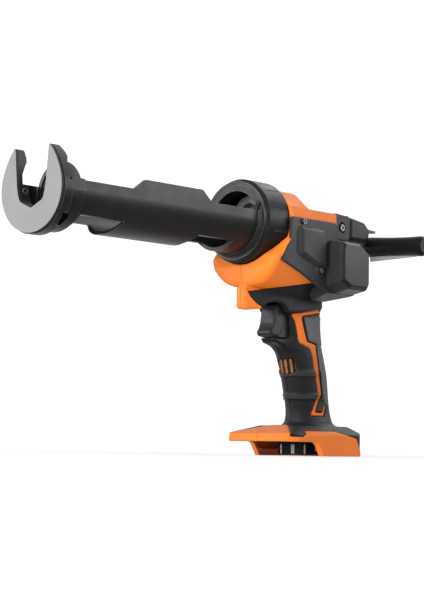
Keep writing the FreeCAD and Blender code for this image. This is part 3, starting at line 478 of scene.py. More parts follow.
def plate_material():
    """Galvanised plate: bare satin faces; faces not turned along x are coloured dark."""
    m = Mat("satin_plate")
    mp = m.new("ShaderNodeMapping")
    mp.inputs["Scale"].default_value = (1.0, 1.0, 0.3)
    m.link(m.co, mp.inputs["Vector"])
    g = m.noise(520.0, 4.0, 0.6, mp.outputs["Vector"])
    blotch = m.remap(m.noise(34.0, 5.0), 0.35, 0.65, 0.0, 1.0)
    face = m.mix(m.math("MULTIPLY", m.math("ADD", blotch, m.remap(g, 0.3, 0.7, 0.0, 1.0)), 0.5), lin("6F6F6F"), lin("797979"))
    sep = m.new("ShaderNodeSeparateXYZ")
    m.link(m.new("ShaderNodeNewGeometry").outputs["Normal"], sep.inputs["Vector"])
    flat = m.remap(m.math("ABSOLUTE", sep.outputs["X"]), 0.55, 0.9, 0.0, 1.0)
    col = m.mix(flat, lin("2A2A2B"), face)
    return m.out(col, m.remap(g, 0.3, 0.7, 0.55, 0.66), m.bump(g, 0.2, 0.00003), Metallic=0.15, Specular_IOR_Level=0.3)


PLATE = plate_material()
ZINC = metal("zinc_screws", "6E6D6A", "84837F", 0.46, 0.58)
STEEL = metal("bright_steel", "9C9B98", "B2B1AE", 0.24, 0.38, (0.1, 1.0, 1.0))
TIN = metal("contact_tin", "6A6966", "82817D", 0.38, 0.5)
BLACKSTEEL = metal("black_oxide", "3A3A3B", "4A4A4B", 0.35, 0.5)
BLADE = moulded("blade_coat", "8E8E8C", "9C9C9A", 0.45, 0.55, 1100.0, 0.00003, Specular_IOR_Level=0.3)
COPPER = metal("copper", "B8693E", "C97B4C", 0.25, 0.4)


def dial_material():
    """Thumbwheel: bronze crowns on the ribs with uneven tone, and painted shade darkening the valleys between them."""
    m = Mat("thumbwheel")
    sep = m.new("ShaderNodeSeparateXYZ")
    m.link(m.co, sep.inputs["Vector"])
    c = row((315.0, 0.0, -122.5))
    s14, c14 = math.sin(math.radians(14)), math.cos(math.radians(14))
    dx = m.math("SUBTRACT", sep.outputs["X"], float(c[0]))
    dz = m.math("SUBTRACT", sep.outputs["Z"], float(c[2]))
    u = m.math("ADD", m.math("MULTIPLY", dx, c14), m.math("MULTIPLY", dz, s14))
    r = m.math("SQRT", m.math("ADD", m.math("POWER", u, 2.0), m.math("POWER", sep.outputs["Y"], 2.0)))
    # painted shade: below the crown radius the colour goes dark
    crown = m.remap(r, 0.00928, 0.00952, 0.0, 1.0, "SMOOTHSTEP")
    wear = m.remap(m.noise(500.0, 4.0), 0.3, 0.7, 0.0, 1.0)
    col = m.mix(crown, lin("121214"), m.mix(wear, lin("7A4620"), lin("95602F")))
    return m.out(col, m.remap(m.noise(90.0, 3.0), 0.3, 0.7, 0.32, 0.45), m.bump(m.noise(1400.0), 0.25, 0.00004))


DIAL = dial_material()
# near-black, darker than the other black plastics: painted shade for the terminal block deep in the battery bay
TERMINAL = moulded("terminal_nylon", "060607", "0A0A0B", 0.5, 0.6, 1400.0, 0.00005, Specular_IOR_Level=0.12)
PLUG = moulded("plug_nylon", "3A3A3C", "444446", 0.4, 0.5, 1400.0, 0.00005, Specular_IOR_Level=0.25)
# matt black for the sheet in the collar windows: painted shade
WINDOW_SHADE = moulded("window_shade_black", "050505", "090909", 0.8, 0.95, 900.0, 0.0001, Specular_IOR_Level=0.05)
BOARD = moulded("board_green", "123A22", "1A4A2C", 0.35, 0.5, 2000.0, 0.00003)
WIRE = moulded("wire_red", "7A1512", "8C1C18", 0.35, 0.5)

# ------------------------------------------------------------------ outlines
BODY_SIDE = [(200, 30.6), (309, 30.2), (351.5, 17.6), (351.5, 9), (357, 4, 3), (359.5, -20, 12), (357.5, -50, 10), (352, -62, 4), (200, -62)]
FRONT_CAP = [(268, 60), (268, -12, 3), (249, -30, 7), (246, -40, 8), (247.5, -57.5, 7), (262, -62, 3), (262, -90), (420, -90), (420, 60)]
BELLY_R, BELLY_Z = 42.3, -18.0
HALF = [(0, 31.0), (14, 30.2), (21, 27.6), (37.6, 13.2), (40.3, 2.0)] + \
       [(BELLY_R * math.cos(math.radians(a)), BELLY_Z + BELLY_R * math.sin(math.radians(a))) for a in range(8, -91, -4)]
BODY_FRONT = HALF + [(-y, z) for y, z in reversed(HALF[1:-1])]
NECK = [(246, -5.5, 3.5), (246, 5.5, 3.5), (270, 13.5, 12), (300, 18, 20), (340, 16.6, 9), (348.5, 8, 6),
        (348.5, -8, 6), (340, -16.6, 9), (300, -18, 20), (270, -13.5, 12)]
NOSE = [(230, -44), (243, -52), (248.2, -60.6), (251.6, -65.9), (255.2, -69.6), (259, -72.4), (262.4, -74.0), (263.2, -76.4), (263.2, -90), (230, -90)]
ARCH = [(265.4, -92), (265.4, -74.6), (267.6, -71.4), (274, -69.2), (283.5, -69.4), (289, -72.2), (292, -76.2), (293.5, -82), (293.5, -92)]
FLANGE = [(266.5, 3.8, 1.5), (331, 3.8, 2), (331, -12), (357, -14, 3), (357, -60, 5), (318, -60, 4), (298, -52.6, 3), (281.5, -44.9), (254, -35.2, 1.5), (265.5, -16, 3)]
PANEL = [(276, -4.5, 2), (308.5, -4.5, 2), (312, -8, 2), (312, -38, 2), (299, -37, 5), (276, -28, 4)]
STRIPE = [(302.0, -77.8), (336, -72.5), (336, -75.8), (314.2, -79.2), (312.8, -81.6), (316.4, -93.3), (319.6, -101.8), (331.6, -104.4), (334.0, -115.4),
          (337.6, -135.3), (340.8, -148.5), (336.2, -155.5), (332.8, -165.0), (341.0, -165.4), (346.2, -157.5), (348.6, -159.3), (343.2, -168.6),
          (327.6, -168.2), (335.0, -149.2), (331.6, -135.5), (326.4, -115.8), (323.2, -108.0), (310.2, -103.2), (306.2, -85.0)]
GRIP = [(-181, 341.5, 28.0, 21.0), (-170, 341.0, 25.0, 17.6), (-153, 338.3, 24.2, 16.6), (-131, 334.0, 25.5, 17.0), (-106, 325.5, 27.0, 17.0),
        (-85, 322.5, 27.0, 17.0), (-62, 321.0, 31.0, 17.6)]
PLAN = [(270, -40, 13), (374, -40, 10), (374, 40, 10), (270, 40, 13)]
PIN_X, OUT_Z = 334.0, -35.35
DIAL_AX = (math.sin(math.radians(14)), -math.cos(math.radians(14)))


def body_field(g):
    side = poly(BODY_SIDE, g.x, g.z)
    front = poly(BODY_FRONT, g.y, g.z)
    d = rmax(side, front, 1.2)
    cap = poly(FRONT_CAP, g.x, g.z)
    low = 1 - smooth(g.z, -26, -12)
    d = rmax(d, cap, 0.8) * (1 - low) + rmax(d, cap, 8.0) * low
    # hump, low roof behind it and the cut rear corners
    n = np.array([466.4, -252.8, 262.0])
    n /= np.linalg.norm(n)
    ay = np.abs(g.y)
    hump = (g.x - 295.0) * n[0] + (-ay + 21.0) * n[1] + (g.z - 27.8) * n[2]
    roof = np.maximum((ay - 18.0) * 0.2 + (g.z - 17.2) * 0.98, g.z - 17.4)
    d = rmax(d, rmin(roof, hump, 1.0), 0.9)
    corner = ((g.x - 331.0) * 20 + (ay - 39.2) * 22) / 29.73
    d = rmax(d, np.minimum(corner, g.z + 12.0), 0.8)
    return d


def grip_field(g):
    zs = [q[0] for q in GRIP]
    z = g.z[0, 0, :]
    cx, A, B = (spline(zs, [q[i] for q in GRIP], z).astype(np.float32)[None, None, :] for i in (1, 2, 3))
    dx, dy = g.x - cx, g.y
    k = np.sqrt((dx / A) ** 2 + (dy / B) ** 2) + 1e-6
    k1 = np.sqrt((dx / A ** 2) ** 2 + (dy / B ** 2) ** 2) + 1e-6
    return k * (k - 1) / k1, dx


def base_field(g):
    ay = np.abs(g.y)
    plan = poly(PLAN, g.x, g.y)
    d = rmax(plan, -204.5 - g.z, 0.6)
    front = (-(g.x - 270.0) * 8 + (g.z + 185.0) * 30) / 31.05
    side = ((ay - 40.0) * 8 + (g.z + 185.0) * 17) / 18.79
    rear = ((g.x - 374.0) * 8 + (g.z + 185.0) * 4.5) / 9.18
    for p in (front, side, rear, g.z + 177.0):
        d = rmax(d, p, 0.9)
    return d


def skirt_region(g):
    """Where the overmould lies over the base: front tabs, roof and the rear wrap."""
    ay = np.abs(g.y)
    ahead = 210.4 - (0.675 * g.x + 0.737 * ay)
    tab = np.maximum(-188.0 - g.z, (g.x - 286.8 - (g.z + 188.0) * 1.9) / 2.15)
    tail = poly([(337, -182.4), (343, -184.4), (362, -188.4), (368, -199.2), (386, -199.2), (386, -180)], g.x, g.z)
    return np.maximum(ahead, np.minimum(np.minimum(-182.4 - g.z, tab), tail))


def flare_edge(g):
    """Height of the overmould's upper edge on the belly."""
    return -61.6 + 0.175 * np.clip(g.x - 248.0, 0, 82)


def halves(f, g, r=0.15):
    return rmax(f, g.y + 0.06, r), rmax(f, 0.06 - g.y, r)


# ------------------------------------------------------------------ orange housing, upper part
g = Grid((243, -45, -79), (362, 45, 34), 0.62)
d = body_field(g)
neck = poly(NECK, g.x, g.y)
d = cut(d, np.maximum(np.maximum(g.z - flare_edge(g) - 0.1, -cyl_x(g, BELLY_R - 1.0, 0, BELLY_Z)), -poly(NOSE, g.x, g.z)))
nose = rmax(rmax(neck, poly(NOSE, g.x, g.z), 0.4), slab(g.z, -76.4, -44), 2.0)
d = rmin(d, nose, 2.0)
core = cut(rmax(neck + 2.0, slab(g.z, -75.5, -50), 0.5), poly(ARCH, g.x, g.z) - 1.5)
d = np.minimum(d, core)
d = cut(d, np.maximum(cyl_x(g, 37.8), g.x - 268.5), 0.4)
d = cut(d, np.maximum(poly(FLANGE, g.x, g.z) - 0.25, np.maximum(g.y + 38.0, -49.2 - g.z)), 0.3)
d = cut(d, box3(g, 313.8, 362, -60, -38.0, -63, -11.7))
d = cut(d, np.maximum(cyl_y(g, PIN_X, OUT_Z, 17.6), g.y + 13.0))
d = cut(d, box3(g, 303.5, 349.5, -14, 22.5, -49, 10))
d = cut(d, box3(g, 240, 372, -6.0, 6.0, -9, 8.5))
d = cut(d, np.maximum(cyl_x(g, 27.0), g.x - 273.0))
d = cut(d, box3(g, 351.6, 380, -18.8, 18.8, -7.0, 30))
d = cut(d, box3(g, 268, 340, -9.6, 9.6, -79, -62.5))
for x, z, y0 in ((279, 21.5, 23.0), (284, -46.5, 26.3), (346, -56.4, 12.7)):
    d = cut(d, np.maximum(cyl_y(g, x, z, 3.5), y0 - g.y), 0.3)
left, right = halves(d, g)
piece("housing_body_left", left, g, "housing", ["housing_left"], ORANGE, keep=0.7)
piece("housing_body_right", right, g, "housing", ["housing_right"], ORANGE, keep=0.7)

# black neck tube that carries the lock ring, with the wall and boss the rod runs through
g = Grid((249, -35.5, -35.5), (276, 35.5, 35.5), 0.6)
d = np.maximum(np.maximum(cyl_x(g, 33.9), -cyl_x(g, 27.0)), slab(g.x, 250.7, 272.4))
wall = np.maximum(cyl_x(g, 28.0), slab(g.x, 268.8, 272.4))
boss = rmax(cyl_x(g, 17.6, 0, 7.0), slab(g.x, 255.0, 271.0), 1.6)
boss = cut(boss, np.maximum(cyl_x(g, 10.6, 0, 6.5), g.x - 263.0), 0.8)
slot = box3(g, 240, 280, -5.6, 5.6, -8.6, 8.0)
d = cut(np.minimum(d, cut(wall, cyl_x(g, 17.8, 0, 7.0))), slot, 0.5)
piece("housing_neck_tube", d, g, "housing", ["housing_left", "housing_right"], BLACK, keep=0.6)
# the boss takes the mid grey as painted light
piece("housing_rod_boss", cut(boss, slot, 0.6), g, "housing", ["housing_left", "housing_right"], BOSS, keep=0.6)

# ------------------------------------------------------------------ base
g = Grid((268, -42, -206), (376, 42, -174.5), 0.62)
ob = base_field(g)
d = ob
bay = poly([(260, -214), (314, -214), (314, -204.5), (306, -192, 7), (260, -192)], g.x, g.z)
d = cut(d, bay, 0.6)
d = cut(d, rmax(np.maximum(slab(g.x, 255, 360), g.z + 192.0), slab(g.y, -34, 34), 1.0), 0.5)
rail = np.minimum(box3(g, 312, 360, -36, -31.2, -200.2, -197.4, 0.5), box3(g, 312, 360, 31.2, 36, -200.2, -197.4, 0.5))
d = np.minimum(d, rail)
d = cut(d, np.maximum(skirt_region(g), -(ob + 1.15)), 0.35)
d = cut(d, np.maximum(cyl_y(g, 284, -188.4, 3.5), 35.0 - g.y), 0.3)
left, right = halves(d, g)
for nm, f, node in (("housing_base_left", left, "housing_left"), ("housing_base_right", right, "housing_right")):
    o = piece(nm, f, g, "housing", [node], ORANGE_BASE, keep=0.7)
    p = tool_points(o)
    # painted shade: marks the bay's faces within the side walls and under the roof for darkening
    paint(o, "painted_shade", (1 - smooth(np.abs(p[:, 1]), 34.5, 35.2)) * (1 - smooth(p[:, 2], -191.9, -191.4)))

# ------------------------------------------------------------------ overmould
g = Grid((245.5, -42, -203), (376, 42, -46), 0.68)
gf, dx = grip_field(g)
ay = np.abs(g.y)
fore = 1 - smooth(dx, 2.0, 9.0)                       # ahead of the stripe
band = lambda a, b, e: smooth(g.z, a - e, a) * (1 - smooth(g.z, b, b + e))
gf = gf - fore * (1.15 * band(-133.2, -128.0, 0.9) + 1.1 * band(-153.6, -149.2, 0.9) + 0.45 * band(-147.5, -135.0, 3.0))
pad_zone = poly([(316.5, -80.5), (352, -76.5), (354, -104), (336, -105.5), (322.5, -100)], g.x, g.z)
gf = gf - 0.5 * (1 - smooth(pad_zone, -1.2, 0.4)) + 0.6 * np.exp(-((pad_zone - 0.5) / 0.8) ** 2)
d = rmax(gf, slab(g.z, -179.5, -64), 0.5)
bottom = -77.6 + np.clip((g.x - 301.0) * 0.143, 0, 7.0) + 2.4 * (1 - smooth(g.x, 268, 284))
nk = rmax(poly(NECK, g.x, g.y), bottom - g.z, 2.2)
k, bl = smooth(g.x, 256.0, 284.0), cyl_x(g, BELLY_R + 0.4, 0, BELLY_Z)
nk = rmin(nk, bl, 2.0) * (1 - k) + rmin(nk, bl, 7.0) * k              # flares up on to the belly
nk = rmax(rmax(nk, (g.z - flare_edge(g)) * 0.99, 0.3), np.maximum(246.5 - g.x, g.x - 352.0), 0.4)
d = rmin(d, nk, 2.4)
lip = rmax(rmax(poly([(282.4, -99.5, 0.8), (287.4, -100.2), (312, -100.2), (312, -110), (298, -107.6, 4), (285.8, -104.2, 1.8)], g.x, g.z), ay - 9.0, 2.0), gf - 30, 0)
d = rmin(d, lip, 6.5)
bo = base_field(g)
sk = np.maximum(np.maximum(bo + 0.45, -(bo + 4.0)), skirt_region(g) + 0.2)
d = rmin(d, sk, 5.0)
d = cut(d, np.maximum(bo + 1.1, skirt_region(g) * -1 + 0.15))       # nothing of it inside the orange base
d = cut(d, cyl_x(g, BELLY_R - 0.95, 0, BELLY_Z))
d = cut(d, poly(ARCH, g.x, g.z), 1.0)
d = cut(d, poly([(q[0] + (0.15 if q[0] > 231 else 0), q[1]) for q in NOSE], g.x, g.z), 0.3)
d = cut(d, rmax(rmax(poly([(265.4, -68.6), (300, -68.6, 3), (315.5, -84, 8), (315.5, -96, 4), (310, -100.4, 4), (287.4, -100.4), (281.0, -99.5), (265.4, -99.5)], g.x, g.z), ay - 9.7, 2.0), ay - 9.7, 0), 0.6)
d = cut(d, box3(g, 296, 338.6, -8.4, 8.4, -104.0, -64.0))             # room for the switch
sp = poly(STRIPE, g.x, g.z)
d = cut(d, np.maximum(np.maximum(sp - 0.3, -(gf + 3.2)), 2.0 - ay), 0.35)
ax_d = (g.x - 315.0) * DIAL_AX[0] + (g.z + 122.5) * DIAL_AX[1]
ra_d = (g.x - 315.0) * -DIAL_AX[1] + (g.z + 122.5) * DIAL_AX[0]
pocket = np.maximum(np.sqrt(ra_d ** 2 + g.y ** 2) - 10.1, np.abs(ax_d) - 6.8)
window = np.maximum(rmax(np.abs(ax_d) - 6.8, ay - 9.5, 1.8), ra_d)
d = cut(d, np.minimum(pocket, window), 0.5)
for x, z, y0 in ((327.5, -112.0, 10.5), (342.0, -166.5, 11.5)):
    d = cut(d, np.maximum(cyl_y(g, x, z, 3.7), y0 - g.y), 0.3)
left, right = halves(d, g, 0.3)
for nm, f, node in (("grip_overmould_left", left, "overmould_left"), ("grip_overmould_right", right, "overmould_right")):
    o = piece(nm, f, g, "housing", [node], RUBBER, keep=0.75)
    p = tool_points(o)
    k = poly([(305, -154.8), (333.5, -154.8), (327.5, -171), (312, -174), (309, -160)], p[:, 0], p[:, 2])
    k2 = poly([(312, -109), (325, -110), (331, -126), (318, -126)], p[:, 0], p[:, 2])
    out = smooth(np.abs(p[:, 1]), 8.5, 11.0)
    paint(o, "dots", out * np.maximum(1 - smooth(k, -1.5, 0.8), 0.6 * (1 - smooth(k2, -1.5, 0.8))))
    behind = poly([(314.4, -80.6), (356, -75.5), (356, -160), (346.0, -158), (341.4, -148), (334.6, -115), (332.4, -103.6), (320.4, -101.0)], p[:, 0], p[:, 2])
    paint(o, "pad", 1 - smooth(behind, -0.8, 0.3))
    # band marks the raised bands for their smoother gloss and painted sheen
    f1 = 1 - smooth(np.abs(p[:, 2] + 130.6), 2.2, 2.9)
    f2 = 1 - smooth(np.abs(p[:, 2] + 151.4), 1.9, 2.5)
    ahead = 1 - smooth(p[:, 0] - np.interp(p[:, 2], [-155, -128], [334.5, 329.0]), -3.0, 0.0)
    paint(o, "band", np.maximum(f1, f2) * ahead)

# the stripe of the orange core that shows through the overmould
g = Grid((299, -20, -170), (352.5, 20, -71), 0.5)
gf, dx = grip_field(g)
d = rmax(np.maximum(poly(STRIPE, g.x, g.z) + 0.15, -(gf + 3.0)), gf + 0.8, 0.5)
for nm, f, node in (("grip_stripe_left", np.maximum(d, g.y + 2.2), "housing_left"), ("grip_stripe_right", np.maximum(d, 2.2 - g.y), "housing_right")):
    piece(nm, f, g, "housing", [node], ORANGE_CORE, keep=0.6)

# ------------------------------------------------------------------ side cover with the motor block
g = Grid((252, -61, -68), (359, -18, 6), 0.55)
fl = rmax(poly(FLANGE, g.x, g.z), slab(g.y, -41.0, -38.05), 0.5)
pn = cmax(poly(PANEL, g.x, g.z), -45.0 - g.y, 2.2)
pn = np.maximum(pn, g.y + 40.0)
d = cmin(fl, pn, 0.6)
t = np.clip((-38.0 - g.y) / 18.6, 0, 1)
x0, x1 = 316.5 - 1.5 * t, 357.0 - 1.0 * t
z0, z1 = -60.0 + 4.0 * t, -12.0 - 2.2 * t
r = 4.0
qx, qz = np.abs(g.x - (x0 + x1) / 2) - (x1 - x0) / 2 + r, np.abs(g.z - (z0 + z1) / 2) - (z1 - z0) / 2 + r
blk2 = np.sqrt(np.maximum(qx, 0) ** 2 + np.maximum(qz, 0) ** 2) + np.minimum(np.maximum(qx, qz), 0) - r
grow = 2.2 * (1 - t)
for px, pz, nx, nz in ((315.0, -49.6, -0.490, -0.872), (341.8, -14.2, 0.518, 0.855), (315.0, -21.5, -0.916, 0.402), (356.0, -50.5, 0.851, -0.526)):
    blk2 = rmax(blk2, (g.x - px) * nx + (g.z - pz) * nz - grow, 1.2)
blk = rmax(blk2, slab(g.y, -56.7, -38.05), 0.5)
d = rmin(d, blk, 0.8)
pan = np.maximum(poly([(-38.5, -59.5), (-20.5, -66.0, 2), (-19, -60), (-19, -50), (-38.5, -30)], g.y, g.z),
                 poly([(318, -20), (355, -20), (355, -60.2), (335, -65.6, 6), (318, -67)], g.x, g.z))
pan = cut(pan, cyl_x(g, BELLY_R + 0.5, 0, BELLY_Z))
pan = cut(pan, poly([(q[0], q[1] * 1.03 + (0.3 if q[1] > 0 else -0.3)) for q in NECK], g.x, g.y))
d = np.minimum(d, pan)
boss = np.maximum(np.maximum(cyl_y(g, 305.6, -40.6, 5.6), g.y + 38.05), -42.2 - g.y)
d = rmin(d, boss, 0.5)
d = cut(d, np.maximum(cyl_y(g, PIN_X, OUT_Z, 17.5), -56.2 - g.y))
d = cut(d, np.maximum(cyl_x(g, BELLY_R + 0.1, 0, BELLY_Z), -38.0 - g.y))
for x, z in ((282.0, 0.8), (305.6, -40.6)):
    d = cut(d, np.maximum(cyl_y(g, x, z, 3.1), g.y + 41.0), 0.3)
    d = cut(d, cyl_y(g, x, z, 1.6))
piece("motor_cover_skin", d, g, "housing", ["motor_cover"], CHAR_SOFT, keep=0.8)

g = Grid((313, -61, -58), (358, -55.5, -12), 0.42)
CAP = [(315.9, -21.7, 1), (318.8, -14.9, 1), (341.5, -14.9, 1), (354.6, -22.9, 1), (354.6, -50.0, 1), (351.8, -55.2, 1), (326.8, -55.2, 1), (315.9, -49.2, 1)]
d = poly(CAP, g.x, g.z) + 1.9 - 0.75 * np.clip(g.y + 59.6, 0, 2.9)
d = rmax(d, slab(g.y, -59.6, -56.75), 0.45)
piece("motor_end_cap_skin", d, g, "housing", ["motor_end_cap"], CHAR, keep=0.8)

# ------------------------------------------------------------------ trigger
g = Grid((274, -10.5, -104), (330, 10.5, -69), 0.4)
TRIG = [(285.0, -70.2, 2), (283.2, -75.5, 20), (282.2, -81.5, 20), (281.2, -87.5, 14), (279.5, -91.6, 8), (276.7, -95.0, 2.6), (278.3, -98.8, 2.5), (287, -100.0, 3), (306.5, -100.0, 1), (306.5, -70.2, 1)]
SIDE_PAD = [(266, -62), (281.8, -64), (290.3, -72.0, 4), (294.4, -79, 6), (295.2, -84, 6), (293.8, -91, 6), (289.2, -98.4, 4), (285.8, -106), (266, -106)]
t = poly(TRIG, g.x, g.z)
d = rmax(rmax(t, np.abs(g.y) - 8.9, 2.6), poly(SIDE_PAD, g.x, g.z), 1.3)
d = np.minimum(d, rmax(t, np.abs(g.y) - 7.4, 0.8))
d = cut(d, box3(g, 298, 310, -6.3, 6.3, -98.5, -74.5), 0.3)
stem = np.maximum(cyl_x(g, 3.0, 0, -86.5), slab(g.x, 297.5, 327.0))
d = np.minimum(d, stem)
piece("trigger_skin", d, g, "trigger", ["trigger"], TRIGGER)

# return spring: a wire helix
SEG, RIM, N = 30, 10, 178
i, j = np.meshgrid(np.arange(N + 1), np.arange(RIM), indexing="ij")
a, b = 2 * np.pi * i / SEG, 2 * np.pi * j / RIM
rad = np.stack([0 * a, np.sin(a), -np.cos(a)], -1)
tan = np.stack([0 * a + 2.9 / (2 * np.pi), 4.6 * np.cos(a), 4.6 * np.sin(a)], -1)
bi = np.cross(tan / np.linalg.norm(tan, axis=-1, keepdims=True), rad)
pts = np.stack([298.9 + 2.9 * i / SEG, 0 * a, 0 * a - 86.5], -1) + 4.6 * rad + 0.55 * (np.cos(b)[..., None] * rad + np.sin(b)[..., None] * bi)
v = np.arange((N + 1) * RIM).reshape(N + 1, RIM)
w = np.roll(v, -1, axis=1)
quads = np.stack([v[:-1], w[:-1], w[1:], v[1:]], -1).reshape(-1, 4)
for e, flip in ((v[0], True), (v[-1], False)):
    caps = np.array([(e[k], e[k + 1], e[8 - k], e[9 - k]) for k in range(4)])
    quads = np.concatenate([quads, caps[:, ::-1] if flip else caps])
spring = to_mesh("trigger_spring_coil", pts.reshape(-1, 3), quads)
spring.data.materials.append(STEEL)
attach(spring, "housing")
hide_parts("trigger_spring")
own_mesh(spring)

# ------------------------------------------------------------------ rear guide
g = Grid((350.5, -20, -8), (415, 20, 20), 0.45)
GUIDE = [(351.8, -6.5, 1), (351.8, 17.4, 1.5), (357, 18.4, 1), (372.5, 17.4, 1), (378, 18.2, 1), (382, 18, 0.5), (404, 15.6, 3), (413.5, 8.5, 3), (411.5, -3, 3), (404, -6.5, 3)]
PLAN_G = [(340, -17.6), (374.5, -18.4), (376.5, -16.4), (379, -16.4), (382, -17.6, 2), (414, -16.2, 4), (414, 16.2, 4), (382, 17.6, 2), (379, 16.4), (376.5, 16.4), (374.5, 18.4), (340, 17.6)]
side, plan = poly(GUIDE, g.x, g.z), poly(PLAN_G, g.x, g.y)
k = smooth(g.x, 376, 383)
d = rmax(side, plan, 1.0) * (1 - k) + rmax(side, plan, 6.0) * k
d = cut(d, rmax(rmax(slab(g.x, 384.5, 401.5), slab(g.y, -8.5, 13.0), 2.0), 13.2 - g.z, 0), 0.5)
d = cut(d, box3(g, 340, 420, -5.4, 5.4, -9, 7.5))
d = cut(d, cut(box3(g, 360, 420, -14.4, -9.0, -0.5, 30), box3(g, 350, 372, -30, 30, 12.0, 40)))
for s in (-1, 1):
    d = cut(d, np.maximum(cyl_y(g, 366.0, 5.6, 4.6), 16.3 - s * g.y), 0.4)
d = cut(d, cyl_y(g, 366.0, 6.2, 1.55))
piece("rear_guide_skin", d, g, "housing", ["rear_guide"], GLOSS, keep=0.8)

# ------------------------------------------------------------------ matt black sheet lying in the collar's lower windows: painted shade, standing in for the shadow there
g = Grid((5.5, -33, -33), (22, 33, -16), 0.45)
WIN = [(7.2, -19.9, 1), (19.0, -20.6, 1), (16.7, -29.6, 1), (9.1, -29.6, 1)]
d = rmax(rmax(poly(WIN, g.x, g.z), np.maximum(cyl_x(g, 30.4), 29.3 - np.sqrt(g.y ** 2 + g.z ** 2)), 0.3), 14.3 - np.abs(g.y), 0.2)
piece("collar_window_shade", d, g, "barrel", [], WINDOW_SHADE)

# round plugs with a round recess in the collar's two slot walls
g = Grid((4.6, -22, -4.6), (13.4, 22, 4.6), 0.3)
ay = np.abs(g.y)
rr = cyl_y(g, 8.6, -0.2, 2.8)
d = rmax(rr, slab(ay, 15.8, 17.9), 0.5)
d = cut(d, np.maximum(cyl_y(g, 8.6, -0.2, 1.5), ay - 17.0), 0.3)
piece("collar_plugs", d, g, "barrel", [], PLUG)

# ------------------------------------------------------------------ kept nodes: edges and finishes
def finish_node(name, mat, bevel=0.0, seg=2, angle=32.0):
    o = NODES[name]
    o.data.materials.clear()
    o.data.materials.append(mat)
    w = o.modifiers.new("weld", "WELD")
    w.merge_threshold = 2e-6
    if bevel > 0:
        m = o.modifiers.new("flat", "DECIMATE")
        m.decimate_type = "DISSOLVE"
        m.angle_limit = math.radians(0.4)
        b = o.modifiers.new("edges", "BEVEL")
        b.width = bevel / 1000.0
        b.segments = seg
        b.limit_method = "ANGLE"
        b.angle_limit = math.radians(angle)
        b.use_clamp_overlap = True
        b.miter_outer = "MITER_ARC"
    o.data.polygons.foreach_set("use_smooth", np.ones(len(o.data.polygons), bool))
    n = o.modifiers.new("shade", "WEIGHTED_NORMAL")
    n.weight = 60
    return o


for name, mat, bevel in (
        ("front_plate", PLATE, 0.35), ("front_collar", CHAR, 0.5), ("barrel", CHAR, 0.45), ("lock_ring", RING, 0.6),
        ("plate_screws", ZINC, 0.15), ("collar_screws", ZINC, 0.2), ("rack_rod", STEEL, 0.0), ("pusher_plate", BLACK, 0.4),
        ("pusher_screw", ZINC, 0.15), ("pull_handle", GLOSS, 0.6), ("handle_blade", BLADE, 0.3), ("handle_screw", ZINC, 0.2),
        ("housing_screws", BLACKSTEEL, 0.2), ("cover_screws", ZINC, 0.3), ("guide_screws", ZINC, 0.3), ("release_lever", BLACKSTEEL, 0.3),
        ("lever_pin", STEEL, 0.0), ("speed_dial", DIAL, 0.15), ("dial_pin", STEEL, 0.0), ("terminal_block", TERMINAL, 0.3),
        ("battery_contacts", TIN, 0.2), ("drive_frame", BLACKSTEEL, 0.0), ("rack_pinion", STEEL, 0.0), ("drive_gear", STEEL, 0.0),
        ("output_shaft", STEEL, 0.0), ("bearing_pinion_left", STEEL, 0.0), ("bearing_pinion_right", STEEL, 0.0), ("bearing_output", STEEL, 0.0),
        ("gearbox_case", BLACKSTEEL, 0.0), ("motor_can", STEEL, 0.0), ("motor_stator", COPPER, 0.0), ("motor_rotor", STEEL, 0.0),
        ("rod_bushing", BLACK, 0.0), ("switch_body", BLACK, 0.0), ("control_board", BOARD, 0.0),
        ("wire_pair", WIRE, 0.0)):
    finish_node(name, mat, bevel)

# ------------------------------------------------------------------ floor, light, camera
def area(name, loc, target, size, power, glossy=True, diffuse=True):
    l = bpy.data.lights.new(name, "AREA")
    l.shape = "RECTANGLE"
    l.size, l.size_y = size
    l.energy = power
    o = bpy.data.objects.new(name, l)
    o.location = loc
    o.visible_camera = False
    o.visible_diffuse, o.visible_glossy = diffuse, glossy
    o.rotation_euler = (Vector(target) - Vector(loc)).to_track_quat("-Z", "Y").to_euler()
    bpy.context.scene.collection.objects.link(o)
    return o


fm = Mat("floor_paper")
FLOOR = fm.out(fm.mix(fm.remap(fm.noise(3.0, 3.0), 0.3, 0.7, 0.0, 1.0), lin("929292"), lin("989898")), 0.9, fm.bump(fm.noise(300.0), 0.05, 0.0003),
               Specular_IOR_Level=0.1, Emission_Color=(1.0, 1.0, 1.0, 1.0))
far = fm.new("ShaderNodeVectorMath", operation="LENGTH")
fm.link(fm.co, far.inputs[0])
fm.link(fm.remap(far.outputs["Value"], 0.25, 1.3, 0.66, 0.93, "SMOOTHSTEP"), fm.b.inputs["Emission Strength"])
me = bpy.data.meshes.new("floor")
me.from_pydata([(-4, -4, -0.0003), (4, -4, -0.0003), (4, 4, -0.0003), (-4, 4, -0.0003)], [], [(0, 1, 2, 3)])
me.materials.append(FLOOR)
floor = bpy.data.objects.new("floor", me)
bpy.context.scene.collection.objects.link(floor)
floor.visible_glossy = False                          # the tool mirrors the dim room below it

